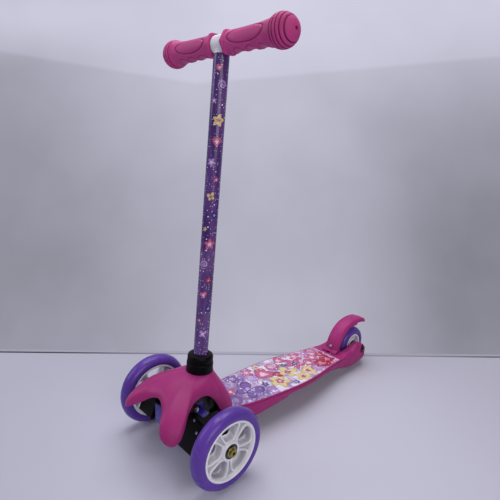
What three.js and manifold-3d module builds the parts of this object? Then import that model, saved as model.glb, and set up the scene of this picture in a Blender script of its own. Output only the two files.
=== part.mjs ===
// Three-wheeled kick scooter for a small child: lean-to-steer front axle, T-shaped handlebar,
// moulded deck and a foot brake over the rear wheel.
// Millimetres, +Z up. The scooter points along -Y, its left side is +X, and it stands on Z = 0 with
// the origin under the middle of its bounding box.

import * as THREE from 'three';
import { mergeVertices } from 'three/addons/utils/BufferGeometryUtils.js';
import { ParametricGeometry } from 'three/addons/geometries/ParametricGeometry.js';
import Module from 'manifold-3d';

const wasm = await Module();
wasm.setup();

// ---------------------------------------------------------------------------------------------
// Driving dimensions
// ---------------------------------------------------------------------------------------------

const gap = 0.3; // clearance between pieces that touch

// Wheels
const frontWheel = { radius: 60, rimRadius: 45.2, width: 24, hubRadius: 15, hubHalf: 10, plateHalf: 2.5,
  ribHalf: 7.5, ribWidth: 2.4, spokeRoot: 0.4, spokeTip: 5.6, spokes: 5 };
const rearWheel = { radius: 40, rimRadius: 24.5, width: 24, hubRadius: 12.8, hubHalf: 10, plateHalf: 6,
  ribHalf: 0, ribWidth: 1.4, spokeRoot: 0.5, spokeTip: 2, spokes: 5 };
const rimWall = 4; // thickness of the rim's hoop
const wheelbase = 443;
const drawnWheelbase = 443; // the deck's outline points are drawn for this wheelbase
const frontTrack = 196.6;

// Bearings and axle bolts
const bearing = { bore: 8, outer: 22, width: 7 };
const axleRadius = 4;
const spacerRadius = 6.5;
const axleNut = { flats: 13, height: 6.8 };

// Steering: two knuckles on leaned kingpins
const kingpinTrack = 72;
const kingpinHeight = 70;
const kingpinLean = THREE.MathUtils.degToRad(25);
const kingpinRadius = 4;
const kingpinHead = { flats: 12, flange: 8, height: 5.5 };
const kingpinNut = { flats: 11.6, height: 6.5 };
const barrelRadius = 9.5; // barrel heights are measured along the kingpin from its middle
const barrelTop = 14.7;
const barrelBottom = -8.5;
const bushHeight = 6;
const lugHeight = 9.5;
const steeringArm = 16;
const tieRod = { width: 11, height: 4 };
const tiePin = { radius: 2.5, headRadius: 4.4, headHeight: 2.6, counterbore: 7.2 };
const knuckleWall = { inner: 62, outer: 74, boss: 7 };
const beam = { halfWidth: kingpinTrack / 2 - 11.5, nose: -46, foot: 46, top: 98, tailHalf: 23, tailEnd: 101 };
const beamBolt = { x: 14, rows: [62, 88], radius: 2.5, headRadius: 4.6, headHeight: 3 };

// Stem and handlebar
const stemFootY = 14.5;
const stemRake = THREE.MathUtils.degToRad(4.57);
const tubeRadius = 11.1;
const tubeWall = 1.4;
const button = { radius: 4.2, stand: 1.4 };
const barHeight = 600.8;
const barRadius = 11.1;
const barLength = 214;
const teeRadius = 12.8;
const teeHalf = tubeRadius - 0.1;
const grip = { start: teeHalf + 1.5, flange: 6, flangeRadius: 18, bodyRadius: 14.9, ballCentre: 111.2,
  ballRadius: 20.25, capRadius: 16.5, grooves: 5 };

// Collar that holds the stem
const collar = { foot: 130, split: 144.8, top: 158, radius: 20.6, topRadius: 19.8, sleeveRadius: 16 };
const socketFloor = 60;
const socketWall = 3;

// Deck
const deckSlope = 0.0643;
const deckHeight = 53.86; // height of the tread where y = deckDatum
const deckDatum = 190;
const deckPlate = 4.5;
const deckWall = 3.6;
const deckNose = 48;
const sheetInset = 4.5;
const sheetThickness = 0.7;
const forkHalfGap = 17.5;
const forkCheek = 12; // thickness of each cheek at the axle
const forkStart = wheelbase - 55;
const ribPitch = 72;
const deckFront = deckNose - 6; // where the plan outline begins, ahead of the nose cut
const deckTail = wheelbase + 17.5;

// Brake
const brakeHalfWidth = 16;
const brakePivot = { y: wheelbase - 67, z: 35.5 };
const brakePin = { radius: 2.5, half: 30 };
const brakeNeckHalf = 16.4;
const brakePad = { clearance: 4.5, half: 9 };
const brakeScrewSize = { radius: 1.8, headRadius: 3.5 };
const springWire = 1.8;

// Shell
const shellWall = 3;
const shellNeck = { radius: 16.6, ridge: 21, height: 129.7 };

// ---------------------------------------------------------------------------------------------
// Helpers
// ---------------------------------------------------------------------------------------------

const { lerp } = THREE.MathUtils;
const REACH = 200; // long enough for any cutting tool to run right through

/** Turns a three.js geometry into a manifold solid with its faces pointing out. */
function solid(geometry) {
  const bare = geometry.index ? geometry.toNonIndexed() : geometry.clone();
  for (const name of Object.keys(bare.attributes)) {
    if (name !== 'position') bare.deleteAttribute(name);
  }
  const merged = mergeVertices(bare, 1e-4);
  const position = merged.attributes.position;
  const index = merged.index.array;
  const triangles = [];
  let volume = 0;
  const [a, b, c] = [new THREE.Vector3(), new THREE.Vector3(), new THREE.Vector3()];
  for (let i = 0; i < index.length; i += 3) {
    const [p, q, r] = [index[i], index[i + 1], index[i + 2]];
    if (p === q || q === r || r === p) continue;
    triangles.push(p, q, r);
    a.fromBufferAttribute(position, p);
    b.fromBufferAttribute(position, q);
    c.fromBufferAttribute(position, r);
    volume += a.dot(b.cross(c));
  }
  if (volume < 0) triangles.reverse();
  const mesh = new wasm.Mesh({
    numProp: 3,
    vertProperties: new Float32Array(position.array),
    triVerts: new Uint32Array(triangles),
  });
  return new wasm.Manifold(mesh);
}

/** Gives a solid's surface back as a three.js geometry. */
function surface(body) {
  const mesh = body.getMesh();
  const geometry = new THREE.BufferGeometry();
  geometry.setAttribute('position', new THREE.BufferAttribute(mesh.vertProperties, 3));
  geometry.setIndex(new THREE.BufferAttribute(mesh.triVerts, 1));
  geometry.computeVertexNormals();
  return geometry;
}

function join(...bodies) {
  return bodies.reduce((whole, body) => whole.add(body));
}

function cut(body, ...tools) {
  return tools.reduce((rest, tool) => rest.subtract(tool), body);
}

/** Extrudes a shape along Z from low to high. */
function extrudeZ(shape, low, high, curveSegments = 2) {
  const options = { depth: high - low, bevelEnabled: false, curveSegments };
  return new THREE.ExtrudeGeometry(shape, options).translate(0, 0, low);
}

/** Extrudes a shape drawn in (y, z) along X from low to high. */
function extrudeX(shape, low, high, curveSegments = 2) {
  return extrudeZ(shape, low, high, curveSegments).rotateX(Math.PI / 2).rotateZ(Math.PI / 2);
}

/** Revolves closed (radius, height) points about Z. */
function revolve(points, segments = 24) {
  const profile = points.map(([radius, height]) => new THREE.Vector2(radius, height));
  profile.push(profile[0].clone());
  return new THREE.LatheGeometry(profile, segments).rotateX(Math.PI / 2);
}

/** A tube or rod along Z; inner may be zero. */
function ring(outer, inner, low, high, segments = 12) {
  if (inner > 0) return revolve([[inner, low], [outer, low], [outer, high], [inner, high]], segments);
  const rod = new THREE.CylinderGeometry(outer, outer, high - low, segments);
  return rod.rotateX(Math.PI / 2).translate(0, 0, (low + high) / 2);
}

/** A hexagonal prism along Z, acrossFlats wide. */
function hexagon(acrossFlats, low, high) {
  return ring(acrossFlats / Math.sqrt(3), 0, low, high, 6);
}

function block(x0, x1, y0, y1, z0, z1) {
  const box = new THREE.BoxGeometry(x1 - x0, y1 - y0, z1 - z0);
  return box.translate((x0 + x1) / 2, (y0 + y1) / 2, (z0 + z1) / 2);
}

/** Turns a geometry made along Z so that it lies along X, with its low end at -X. */
function layAlongX(geometry) {
  return geometry.rotateY(Math.PI / 2);
}

/** A closed shape through corner points, each corner rounded by its own radius. */
function rounded(corners) {
  const shape = new THREE.Shape();
  corners.forEach(([x, y, radius = 0], i) => {
    const here = new THREE.Vector2(x, y);
    const last = corners[(i + corners.length - 1) % corners.length];
    const next = corners[(i + 1) % corners.length];
    const before = new THREE.Vector2(last[0], last[1]).sub(here);
    const after = new THREE.Vector2(next[0], next[1]).sub(here);
    const reach = Math.min(radius, before.length() / 2.05, after.length() / 2.05);
    const start = before.setLength(reach).add(here);
    const end = after.setLength(reach).add(here);
    if (i === 0) shape.moveTo(start.x, start.y);
    else shape.lineTo(start.x, start.y);
    if (reach > 0) shape.quadraticCurveTo(here.x, here.y, end.x, end.y);
  });
  shape.closePath();
  return shape;
}

/** The same closed solid on the other side of the X = 0 plane. */
function mirrored(body) {
  return solid(surface(body).scale(-1, 1, 1));
}

const FINISH = {
  pinkPlastic: { color: 0xc23a80, roughness: 0.42, metalness: 0 },
  pinkRubber: { color: 0xb93d80, roughness: 0.6, metalness: 0 },
  purpleTyre: { color: 0x5b3aa8, roughness: 0.4, metalness: 0 },
  whitePlastic: { color: 0xe9e9f0, roughness: 0.35, metalness: 0 },
  blackPlastic: { color: 0x101114, roughness: 0.5, metalness: 0 },
  bluePlastic: { color: 0x2f2b8f, roughness: 0.35, metalness: 0 },
  purplePaint: { color: 0x6a4fae, roughness: 0.25, metalness: 0.1 },
  printedSheet: { color: 0xd9c6ea, roughness: 0.3, metalness: 0 },
  steel: { color: 0xb9bcc2, roughness: 0.3, metalness: 1 },
  darkSteel: { color: 0x55585e, roughness: 0.4, metalness: 1 },
  brass: { color: 0xb59a4e, roughness: 0.3, metalness: 1 },
  rubber: { color: 0x2a2a2c, roughness: 0.8, metalness: 0 },
};

function piece(name, body, finish) {
  const geometry = body instanceof THREE.BufferGeometry ? surface(solid(body)) : surface(body);
  const mesh = new THREE.Mesh(geometry, new THREE.MeshStandardMaterial(FINISH[finish]));
  mesh.name = name;
  return mesh;
}

function group(position, rotation, ...children) {
  const holder = new THREE.Group();
  holder.position.set(...position);
  holder.rotation.set(...rotation);
  holder.add(...children);
  return holder;
}

const SIDES = [['left', 1], ['right', -1]];

// ---------------------------------------------------------------------------------------------
// Wheels: each is built about its own axle, which lies along X, with its outer face towards +X
// ---------------------------------------------------------------------------------------------

/** A tyre: flat seat on the rim, round tread. */
function tyre(wheel) {
  const half = wheel.width / 2;
  const seat = wheel.rimRadius + gap;
  const shoulder = 4;
  const crown = wheel.radius - seat - shoulder;
  const points = [[seat, half - 1.4], [seat, 1.4 - half]];
  const steps = 4;
  for (let i = 0; i <= steps; i += 1) {
    const angle = -Math.PI / 2 + (Math.PI * i) / steps;
    points.push([seat + shoulder + crown * Math.cos(angle) ** 0.85, half * Math.sin(angle)]);
  }
  return layAlongX(revolve(points, 28));
}

/** The outline of one opening between two spokes, which flare outwards; grow widens it all round. */
function openingOutline(wheel, middle, grow) {
  const inner = wheel.hubRadius + wheel.ribWidth - grow;
  const outer = wheel.rimRadius - rimWall - 0.6 + grow;
  const corner = (radius, side, round) => {
    const along = (radius - wheel.hubRadius) / (wheel.rimRadius - wheel.hubRadius);
    const spoke = lerp(wheel.spokeRoot, wheel.spokeTip, along) + wheel.ribWidth - grow;
    const angle = Math.PI / wheel.spokes - Math.asin(spoke / radius);
    const turn = middle + side * angle;
    return [radius * Math.cos(turn), radius * Math.sin(turn), round];
  };
  const crown = 1.04 * outer; // pulls the outer edge out to the hoop's curve
  const small = wheel.rimRadius / 9;
  const large = wheel.rimRadius / 4;
  return rounded([corner(inner, -1, small), corner(outer, -1, large),
    [crown * Math.cos(middle), crown * Math.sin(middle), wheel.radius],
    corner(outer, 1, large), corner(inner, 1, small)]);
}

/** A moulded rim: hoop, hub, plate with openings, and a rib round each where it stands proud. */
function rim(wheel) {
  const half = wheel.width / 2 - 1;
  const hoopInside = wheel.rimRadius - rimWall;
  const hoop = ring(wheel.rimRadius, hoopInside, -half, half, 28);
  const plate = ring(hoopInside + rimWall / 2, 0, -wheel.plateHalf, wheel.plateHalf, 28);
  const hub = ring(wheel.hubRadius, 0, -wheel.hubHalf, wheel.hubHalf);
  let body = join(solid(hoop), solid(plate), solid(hub));
  const openings = [];
  for (let i = 0; i < wheel.spokes; i += 1) {
    const middle = (2 * Math.PI * (i + 0.25)) / wheel.spokes;
    if (wheel.ribHalf > wheel.plateHalf) {
      const rib = openingOutline(wheel, middle, wheel.ribWidth);
      body = body.add(solid(extrudeZ(rib, -wheel.ribHalf, wheel.ribHalf, 1)));
    }
    openings.push(solid(extrudeZ(openingOutline(wheel, middle, 0), -half, half, 1)));
  }
  body = cut(body, ...openings);
  const pocket = wheel.hubHalf - bearing.width - gap;
  const seat = bearing.outer / 2 + gap;
  body = cut(body, solid(ring(seat, 0, pocket, half)), solid(ring(seat, 0, -half, -pocket)),
    solid(ring(spacerRadius + 2, 0, -half, half, 8)));
  return layAlongX(surface(body));
}

/** A sealed ball bearing. */
function ballBearing() {
  const half = bearing.width / 2;
  return layAlongX(ring(bearing.outer / 2, bearing.bore / 2 + gap, -half, half));
}

/** The turning pieces of one wheel, named with a prefix. */
function wheelSet(prefix, wheel) {
  const seat = wheel.hubHalf - bearing.width / 2;
  const middle = wheel.hubHalf - bearing.width - gap;
  const tube = ring(spacerRadius, axleRadius + gap, -middle, middle);
  const pieces = [
    piece(`${prefix}_tyre`, tyre(wheel), 'purpleTyre'),
    piece(`${prefix}_rim`, rim(wheel), 'whitePlastic'),
    piece(`${prefix}_hub_spacer`, layAlongX(tube), 'steel'),
  ];
  for (const [name, side] of [['outer', 1], ['inner', -1]]) {
    const race = piece(`${prefix}_bearing_${name}`, ballBearing(), 'darkSteel');
    race.position.x = side * seat;
    pieces.push(race);
  }
  return pieces;
}

/** An axle bolt along X: round flange and hexagon head at +X, socket in the head. */
function axleBolt(head, tip) {
  const body = join(solid(ring(axleRadius, 0, tip, head + 1)),
    solid(ring(8, 0, head, head + 1.4)), solid(hexagon(11, head + 1, head + 5)));
  return layAlongX(surface(cut(body, solid(hexagon(5, head + 2.2, head + 6)))));
}

/** A hexagon nut along Z whose hole clears the bolt. */
function nut(acrossFlats, low, high, hole) {
  return cut(solid(hexagon(acrossFlats, low, high)), solid(ring(hole, 0, low - 1, high + 1)));
}

/** The nut of an axle bolt, along X, with its outer face at high. */
function nutOnAxle(high) {
  return layAlongX(surface(nut(axleNut.flats, high - axleNut.height, high, axleRadius + gap)));
}

// ---------------------------------------------------------------------------------------------
// Front axle: beam, kingpins, knuckles, tie rod
// ---------------------------------------------------------------------------------------------

const kingpinX = kingpinTrack / 2;
const lugTop = barrelTop + gap;
const bushBottom = barrelBottom - gap - bushHeight;
const lugBottom = bushBottom - gap;

/** Height of the tread at a place along the deck. */
function treadHeight(y) {
  return deckHeight - deckSlope * (y - deckDatum);
}

/** Height of the stem's axis line at a given Z, as its Y. */
function stemY(z) {
  return stemFootY + Math.tan(stemRake) * z;
}

/** Moves a geometry made about the world Z axis onto the raked stem axis. */
function ontoStem(geometry) {
  return geometry.rotateX(-stemRake).translate(0, stemFootY, 0);
}

/** The point at a radius and height on the stem's axis, in a level direction from it. */
function stemPoint(direction, radius, height) {
  const point = new THREE.Vector3(0, 0, height).addScaledVector(direction, radius);
  return point.applyAxisAngle(new THREE.Vector3(1, 0, 0), -stemRake).add(new THREE.Vector3(0, stemFootY, 0));
}

/** Moves a geometry made in the left kingpin's frame to the world. */
function ontoKingpin(geometry) {
  return geometry.rotateX(kingpinLean).translate(kingpinX, 0, kingpinHeight);
}

/** The places of the four bolts that hold the deck down on the beam's tail. */
function beamBoltPlaces() {
  return beamBolt.rows.flatMap((y) => [[beamBolt.x, y], [-beamBolt.x, y]]);
}

/** The moulded beam: a rounded nose block, the socket boss, two barrels and a tail under the deck. */
function steeringBeam() {
  const { halfWidth: w, nose, foot, top, tailHalf, tailEnd } = beam;
  const rear = deckNose - 2 * gap;
  const plan = rounded([[-w, nose + 1, 13], [w, nose + 1, 13], [w, rear, 4], [-w, rear, 4]]);
  const side = rounded([[nose, foot + 16, 3], [nose, top - 10, 6], [nose + 10, top, 6], [rear + 1, top, 4],
    [rear + 1, foot, 3], [nose + 16, foot, 6]]);
  let body = solid(extrudeZ(plan, foot - 6, top + 7)).intersect(solid(extrudeX(side, -w - 1, w + 1)));
  const bossRadius = (collar.sleeveRadius + kingpinX - barrelRadius) / 2;
  body = body.add(solid(ontoStem(ring(bossRadius, 0, socketFloor, top + 14, 20))));
  const tailTop = (y) => treadHeight(y) - deckPlate - gap;
  const tail = rounded([[40, foot, 0], [tailEnd, foot - 2, 3], [tailEnd, tailTop(tailEnd), 0],
    [40, tailTop(40), 0]]);
  body = body.add(solid(extrudeX(tail, -tailHalf, tailHalf)));
  const barrel = solid(ontoKingpin(ring(barrelRadius, 0, barrelBottom, barrelTop)));
  const neck = solid(ontoKingpin(block(w - kingpinX - 4.5, 0, -8, 8, barrelBottom, barrelTop)));
  const bore = solid(ontoKingpin(ring(kingpinRadius + gap, 0, barrelBottom - 9, barrelTop + 9)));
  body = join(body, barrel, neck, mirrored(barrel), mirrored(neck));
  body = cut(body, bore, mirrored(bore));
  body = cut(body, solid(ontoStem(ring(collar.sleeveRadius + gap, 0, socketFloor + socketWall,
    collar.foot, 20))));
  for (const [x, y] of beamBoltPlaces()) {
    body = body.subtract(solid(ring(beamBolt.radius + gap, 0, 30, 80).translate(x, y, 0)));
  }
  // Channel for the tie rod
  const channel = block(-40 - kingpinX, 40, steeringArm - 8, steeringArm + 8, -REACH,
    lugBottom - lugHeight + 2);
  body = body.subtract(solid(ontoKingpin(channel)));
  // Weight-saving pockets in the flanks, with a web left between them
  for (const side of [-1, 1]) {
    body = body.subtract(solid(block(side * w - 5, side * w + 5, -30, -16, 58, 88)));
  }
  return body;
}

/** The left knuckle, in world axes: a clevis round the barrel, a wall beside the wheel, an arm. */
function knuckle() {
  const [inner, outer] = [knuckleWall.inner, knuckleWall.outer];
  const outline = rounded([[-43, 49, 5], [26, 49, 5], [12, 95, 5], [-21, 95, 5]]);
  const pocket = rounded([[-36.5, 53, 2], [40, 53, 2], [40, 91, 2], [-15, 91, 2]]);
  let body = solid(extrudeX(outline, 38, outer));
  body = body.subtract(solid(extrudeX(pocket, 30, inner, 1)));
  const reach = inner - kingpinX + 1;
  for (const [low, high] of [[lugTop, lugTop + lugHeight], [lugBottom - lugHeight, lugBottom]]) {
    body = body.add(solid(ontoKingpin(ring(barrelRadius, 0, low, high))));
    body = body.add(solid(ontoKingpin(block(0, reach, -barrelRadius, barrelRadius, low, high))));
  }
  // The swing space between the lugs
  const swing = barrelRadius + 1.2;
  body = body.subtract(solid(ontoKingpin(ring(swing, 0, lugBottom, lugTop))));
  body = body.subtract(solid(ontoKingpin(block(-29, -3, -REACH, REACH, lugBottom, lugTop))));
  // Steering arm on the lower lug
  const armHalf = tieRod.width / 2 + 0.5;
  const eye = ring(armHalf, 0, lugBottom - lugHeight, lugBottom).translate(0, steeringArm, 0);
  const arm = block(-armHalf, armHalf, 0, steeringArm, lugBottom - lugHeight, lugBottom);
  body = join(body, solid(ontoKingpin(eye)), solid(ontoKingpin(arm)));
  // Boss for the axle bolt, and a recess for its nut behind the wall
  const faceX = frontTrack / 2 - frontWheel.hubHalf - gap;
  const boss = layAlongX(ring(knuckleWall.boss, 0, outer - 1, faceX));
  body = body.add(solid(boss.translate(0, 0, frontWheel.radius)));
  const armFoot = lugBottom - lugHeight;
  const nutBore = kingpinNut.flats / 2 + 3.4;
  const tieBore = tiePin.counterbore;
  const tools = [
    layAlongX(ring(axleRadius + gap, 0, 0, REACH)).translate(0, 0, frontWheel.radius),
    layAlongX(ring(axleNut.flats / 2 + 2.8, 0, 50, inner)).translate(0, 0, frontWheel.radius),
    ontoKingpin(ring(kingpinRadius + gap, 0, -REACH, REACH)),
    ontoKingpin(ring(nutBore, 0, lugTop + lugHeight, REACH)),
    ontoKingpin(ring(nutBore, 0, -REACH, armFoot)),
    ontoKingpin(ring(tieBore, 0, -REACH, armFoot, 8).translate(0, steeringArm, 0)),
    ontoKingpin(block(-30, 0, steeringArm - tieBore, steeringArm + tieBore, -REACH, armFoot)),
    ontoKingpin(ring(tiePin.radius + gap, 0, armFoot - 1, lugBottom + 1).translate(0, steeringArm, 0)),
  ];
  return cut(body, ...tools.map(solid));
}

/** The kingpin bolt, in the kingpin's frame. */
function kingpinBolt() {
  const top = lugTop + lugHeight + gap;
  const tip = lugBottom - lugHeight - kingpinNut.height - 2.5;
  return join(solid(ring(kingpinRadius, 0, tip, top + 1)),
    solid(ring(kingpinHead.flange, 0, top, top + 1.2)),
    solid(hexagon(kingpinHead.flats, top + 1, top + kingpinHead.height)));
}

/** The tie rod, in the left kingpin's frame: an eye on each steering arm and a flat bar between. */
function tieRodBody() {
  const high = lugBottom - lugHeight - gap;
  const low = high - tieRod.height;
  const half = tieRod.width / 2;
  let body = solid(block(-kingpinTrack, 0, steeringArm - half + 1.5, steeringArm + half - 1.5, low, high));
  for (const x of [0, -kingpinTrack]) {
    body = body.add(solid(ring(half, 0, low, high).translate(x, steeringArm, 0)));
  }
  for (const x of [0, -kingpinTrack]) {
    const hole = ring(tiePin.radius + gap, 0, low - 1, high + 1);
    body = body.subtract(solid(hole.translate(x, steeringArm, 0)));
  }
  return body;
}

/** The shouldered pin that joins a steering arm and the tie rod, in the kingpin's frame. */
function tieRodPin() {
  const under = lugBottom - lugHeight - 2 * gap - tieRod.height;
  return join(solid(ring(tiePin.radius, 0, under - 1, lugBottom + 1.5)),
    solid(ring(tiePin.headRadius, 0, under - tiePin.headHeight, under)));
}

// ---------------------------------------------------------------------------------------------
// Collar, stem and handlebar: the stem's pieces are made about its own axis, heights from the ground
// ---------------------------------------------------------------------------------------------

const buttonHeight = (collar.foot + collar.split) / 2;
const buttonBack = tubeRadius - tubeWall - 3;
const socketSeat = socketFloor + 2 * socketWall; // the ledge the tube stands on

/** The black socket: a wide lower ring on a sleeve that drops into the beam. */
function collarSocket() {
  const bore = tubeRadius + gap;
  const base = socketFloor + socketWall + gap;
  const profile = [[bore, socketSeat], [bore, collar.split], [collar.radius - 1, collar.split],
    [collar.radius, collar.split - 1], [collar.radius, collar.foot + 1.2],
    [collar.radius + 0.6, collar.foot], [collar.sleeveRadius, collar.foot],
    [collar.sleeveRadius, base], [8, base], [8, socketSeat]];
  const body = solid(revolve(profile, 20));
  return body.subtract(solid(buttonHole()));
}

/** The radial hole for the lock button, towards the rear. */
function buttonHole() {
  return ring(button.radius + gap, 0, 0, 40).rotateX(-Math.PI / 2).translate(0, 0, buttonHeight);
}

/** The clamp ring on top of the socket, with a rounded shoulder. */
function collarCap() {
  const low = collar.split + gap;
  const bore = tubeRadius + gap;
  return solid(revolve([[bore, low], [collar.radius - 1.2, low], [collar.topRadius, low + 0.8],
    [collar.topRadius, collar.top - 5], [collar.topRadius - 0.8, collar.top - 2.4],
    [collar.topRadius - 2.6, collar.top - 0.7], [collar.topRadius - 5, collar.top],
    [bore, collar.top]], 20));
}

/** The stem tube, open at both ends, with the hole for the lock button. */
function stemTube() {
  const high = barHeight / Math.cos(stemRake) - teeRadius - gap;
  return cut(solid(ring(tubeRadius, tubeRadius - tubeWall, socketSeat + gap, high, 20)), solid(buttonHole()));
}

/** The spring-loaded button that locks the stem into the socket. */
function lockButton() {
  const end = collar.radius + button.stand;
  const pin = ring(button.radius, 0, buttonBack, end);
  const crown = ring(button.radius - 1, 0, end - 1, end + 1);
  const body = surface(join(solid(pin), solid(crown)));
  return solid(body.rotateX(-Math.PI / 2).translate(0, 0, buttonHeight));
}

/** The bent leaf behind the button. */
function lockSpring() {
  const back = buttonBack - gap;
  const z = buttonHeight;
  const leaf = rounded([[back, z + 5, 0], [back, z - 26, 3], [back - 8, z - 34, 3], [back - 12, z - 24, 0],
    [back - 11, z - 23.6, 0], [back - 7.6, z - 32, 2], [back - 1, z - 25.5, 2], [back - 1, z + 5, 0]]);
  return solid(extrudeX(leaf, -3, 3));
}

/** The tee that carries the bar, with a short sleeve inside the stem. */
function barTee() {
  const centre = barHeight / Math.cos(stemRake);
  const sleeve = layAlongX(ring(teeRadius, 0, -teeHalf, teeHalf, 14)).translate(0, 0, centre);
  const plug = ring(tubeRadius - tubeWall - gap, 0, centre - 45, centre);
  const bore = layAlongX(ring(barRadius + gap, 0, -40, 40, 14)).translate(0, 0, centre);
  return cut(join(solid(sleeve), solid(plug)), solid(bore));
}

/** A grip along X, open at the bar's middle and closed by its ball at the far end. */
function gripBody() {
  const { start, flange, flangeRadius, bodyRadius, ballCentre, ballRadius, capRadius, grooves } = grip;
  const capX = ballCentre + Math.sqrt(ballRadius ** 2 - capRadius ** 2);
  const points = [[barRadius + gap, start + 1], [bodyRadius, start + 1], [bodyRadius, ballCentre - 16]];
  const lipX = ballCentre - Math.sqrt(ballRadius ** 2 - (ballRadius * 0.83) ** 2);
  points.push([ballRadius * 0.83, lipX]);
  const pitch = (capX - lipX) / grooves;
  for (let i = 0; i < grooves; i += 1) {
    const x = lipX + pitch * (i + 0.5);
    const radius = Math.sqrt(ballRadius ** 2 - (x - ballCentre) ** 2);
    points.push([radius, x], [radius - 1.5, x + pitch * 0.5]);
  }
  const capSteps = 3;
  const capStart = Math.acos(capRadius / ballRadius);
  for (let i = 0; i <= capSteps; i += 1) {
    const angle = capStart + ((Math.PI / 2 - capStart) * i) / capSteps;
    const radius = Math.max(ballRadius * Math.cos(angle), 1.6);
    points.push([radius, ballCentre + ballRadius * Math.sin(angle)]);
  }
  const end = barLength / 2 + gap;
  points.push([1.6, end + 3], [barRadius + gap, end + 3 - 1.5]);
  const turned = layAlongX(revolve(points, 14));
  const hexFlange = cut(solid(hexagon(flangeRadius * Math.sqrt(3), start, start + flange)),
    solid(ring(barRadius + gap, 0, start - 1, start + flange + 1, 14)));
  const flangeTurned = layAlongX(surface(hexFlange).rotateZ(Math.PI / 2));
  return join(solid(turned), solid(flangeTurned));
}

// ---------------------------------------------------------------------------------------------
// Deck: tread plate, side walls, ribs and the fork for the rear wheel
// ---------------------------------------------------------------------------------------------

/** A place along the deck, which keeps to the beam in front and the axle behind and stretches between. */
function alongDeck(y) {
  const stretchEnd = drawnWheelbase - 100; // the fork and the brake keep their shape behind this
  const share = THREE.MathUtils.clamp((y - beam.tailEnd) / (stretchEnd - beam.tailEnd), 0, 1);
  return y + share * (wheelbase - drawnWheelbase);
}

/** The deck's outline seen from above, grown or shrunk all round by grow. */
function deckPlan(grow = 0) {
  const half = [[deckFront, 34], [64, 36], [97, 45], [140, 50], [187, 53.4], [226, 54.3], [264, 51.4],
    [304, 45.3], [345, 39.6], [380, 37.6], [420, 37], [446, 35.5]];
  const edge = half.map(([y, x]) => new THREE.Vector2(x + grow, alongDeck(y)));
  const last = edge[edge.length - 1];
  const shape = new THREE.Shape();
  shape.moveTo(-edge[0].x, deckFront);
  shape.lineTo(edge[0].x, deckFront);
  shape.splineThru(edge.slice(1));
  shape.quadraticCurveTo(last.x - 2, deckTail + grow, 25, deckTail + grow);
  shape.lineTo(-25, deckTail + grow);
  shape.quadraticCurveTo(2 - last.x, deckTail + grow, -last.x, last.y);
  shape.splineThru(edge.slice(0, -1).reverse().map((point) => new THREE.Vector2(-point.x, point.y)));
  return shape;
}

/** The deck's side view: the tread line above, a rounded lobe round the rear axle, and the belly. */
function deckSide() {
  const place = ([y, z]) => new THREE.Vector2(alongDeck(y), z);
  const tread = (y) => [y, treadHeight(alongDeck(y))];
  const shape = new THREE.Shape();
  shape.moveTo(deckNose, treadHeight(deckNose));
  shape.lineTo(...place(tread(374)).toArray());
  shape.splineThru([[388, 44.5], [400, 49], [411, 55.5], [421, 60], [431, 61], [441, 59], [450, 53.5],
    [457, 45], [460, 36], [458.5, 27], [453, 19.5], [444, 14.5], [431, 12], [415, 11.5], [400, 12.5],
    [380, 16.5], [358, 21.5], [320, 29], [283, 33.5], [247, 37.5], [213, 42]].map(place));
  shape.splineThru([[185, 42.5], [160, 37.5], [135, 34.5], [100, 34.5], [70, 38], [deckNose, 44]].map(place));
  shape.closePath();
  return shape;
}

const hollowEnd = alongDeck(352);
const ribFoot = 31;

/** The inside of the deck below the tread plate, open downwards. */
function deckHollow() {
  const roof = (y) => treadHeight(y) - deckPlate;
  const start = deckFront - 2;
  const side = rounded([[start, 20], [hollowEnd, 10], [hollowEnd, roof(hollowEnd)], [start, roof(start)]]);
  return solid(extrudeZ(deckPlan(-deckWall), 0, 90, 1)).intersect(solid(extrudeX(side, -REACH, REACH)));
}

function deck() {
  const plan = solid(extrudeZ(deckPlan(), 0, 90, 1));
  const form = plan.intersect(solid(extrudeX(deckSide(), -REACH, REACH, 1)));
  let body = form.subtract(deckHollow());
  // Ribs under the tread, kept clear of the beam's tail
  const ribs = [];
  for (let y = beam.tailEnd + 29; y < hollowEnd; y += ribPitch) {
    ribs.push(block(-REACH, REACH, y, y + 2.4, ribFoot, treadHeight(y) - 1));
  }
  for (const x of [-24, 24]) {
    ribs.push(block(x - 1.2, x + 1.2, beam.tailEnd + 2, hollowEnd, ribFoot, deckHeight));
  }
  const inside = solid(extrudeZ(deckPlan(0.5 - deckWall), 0, 90, 1)).intersect(form);
  body = join(body, ...ribs.map((rib) => solid(rib).intersect(inside)));
  // Recess for the printed sheet
  body = body.subtract(solid(sheetPlate(sheetInset - gap, -sheetThickness - gap, 4, gap)));
  // Wheel well, brake slot, axle and brake pin
  const well = block(-forkHalfGap, forkHalfGap, forkStart, deckTail + 20, 0, 90);
  const slot = block(-brakeNeckHalf - gap, brakeNeckHalf + gap, brakePivot.y - 11.5, forkStart + 1, 0, 90);
  const seat = forkHalfGap + forkCheek;
  const acrossAxle = (radius, low, high) =>
    layAlongX(ring(radius, 0, low, high)).translate(0, wheelbase, rearWheel.radius);
  const pinHole = ring(brakePin.radius + gap, 0, -REACH, brakePin.half + gap);
  const tools = [well, slot, acrossAxle(axleRadius + gap, -REACH, REACH), acrossAxle(9.5, seat, REACH),
    acrossAxle(9.5, -REACH, -seat), layAlongX(pinHole).translate(0, brakePivot.y, brakePivot.z)];
  body = cut(body, ...tools.map(solid));
  for (const [x, y] of beamBoltPlaces()) {
    const hole = ring(beamBolt.radius + gap, 0, 40, treadHeight(y) - 1.6);
    body = body.subtract(solid(hole.translate(x, y, 0)));
  }
  return body;
}

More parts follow.
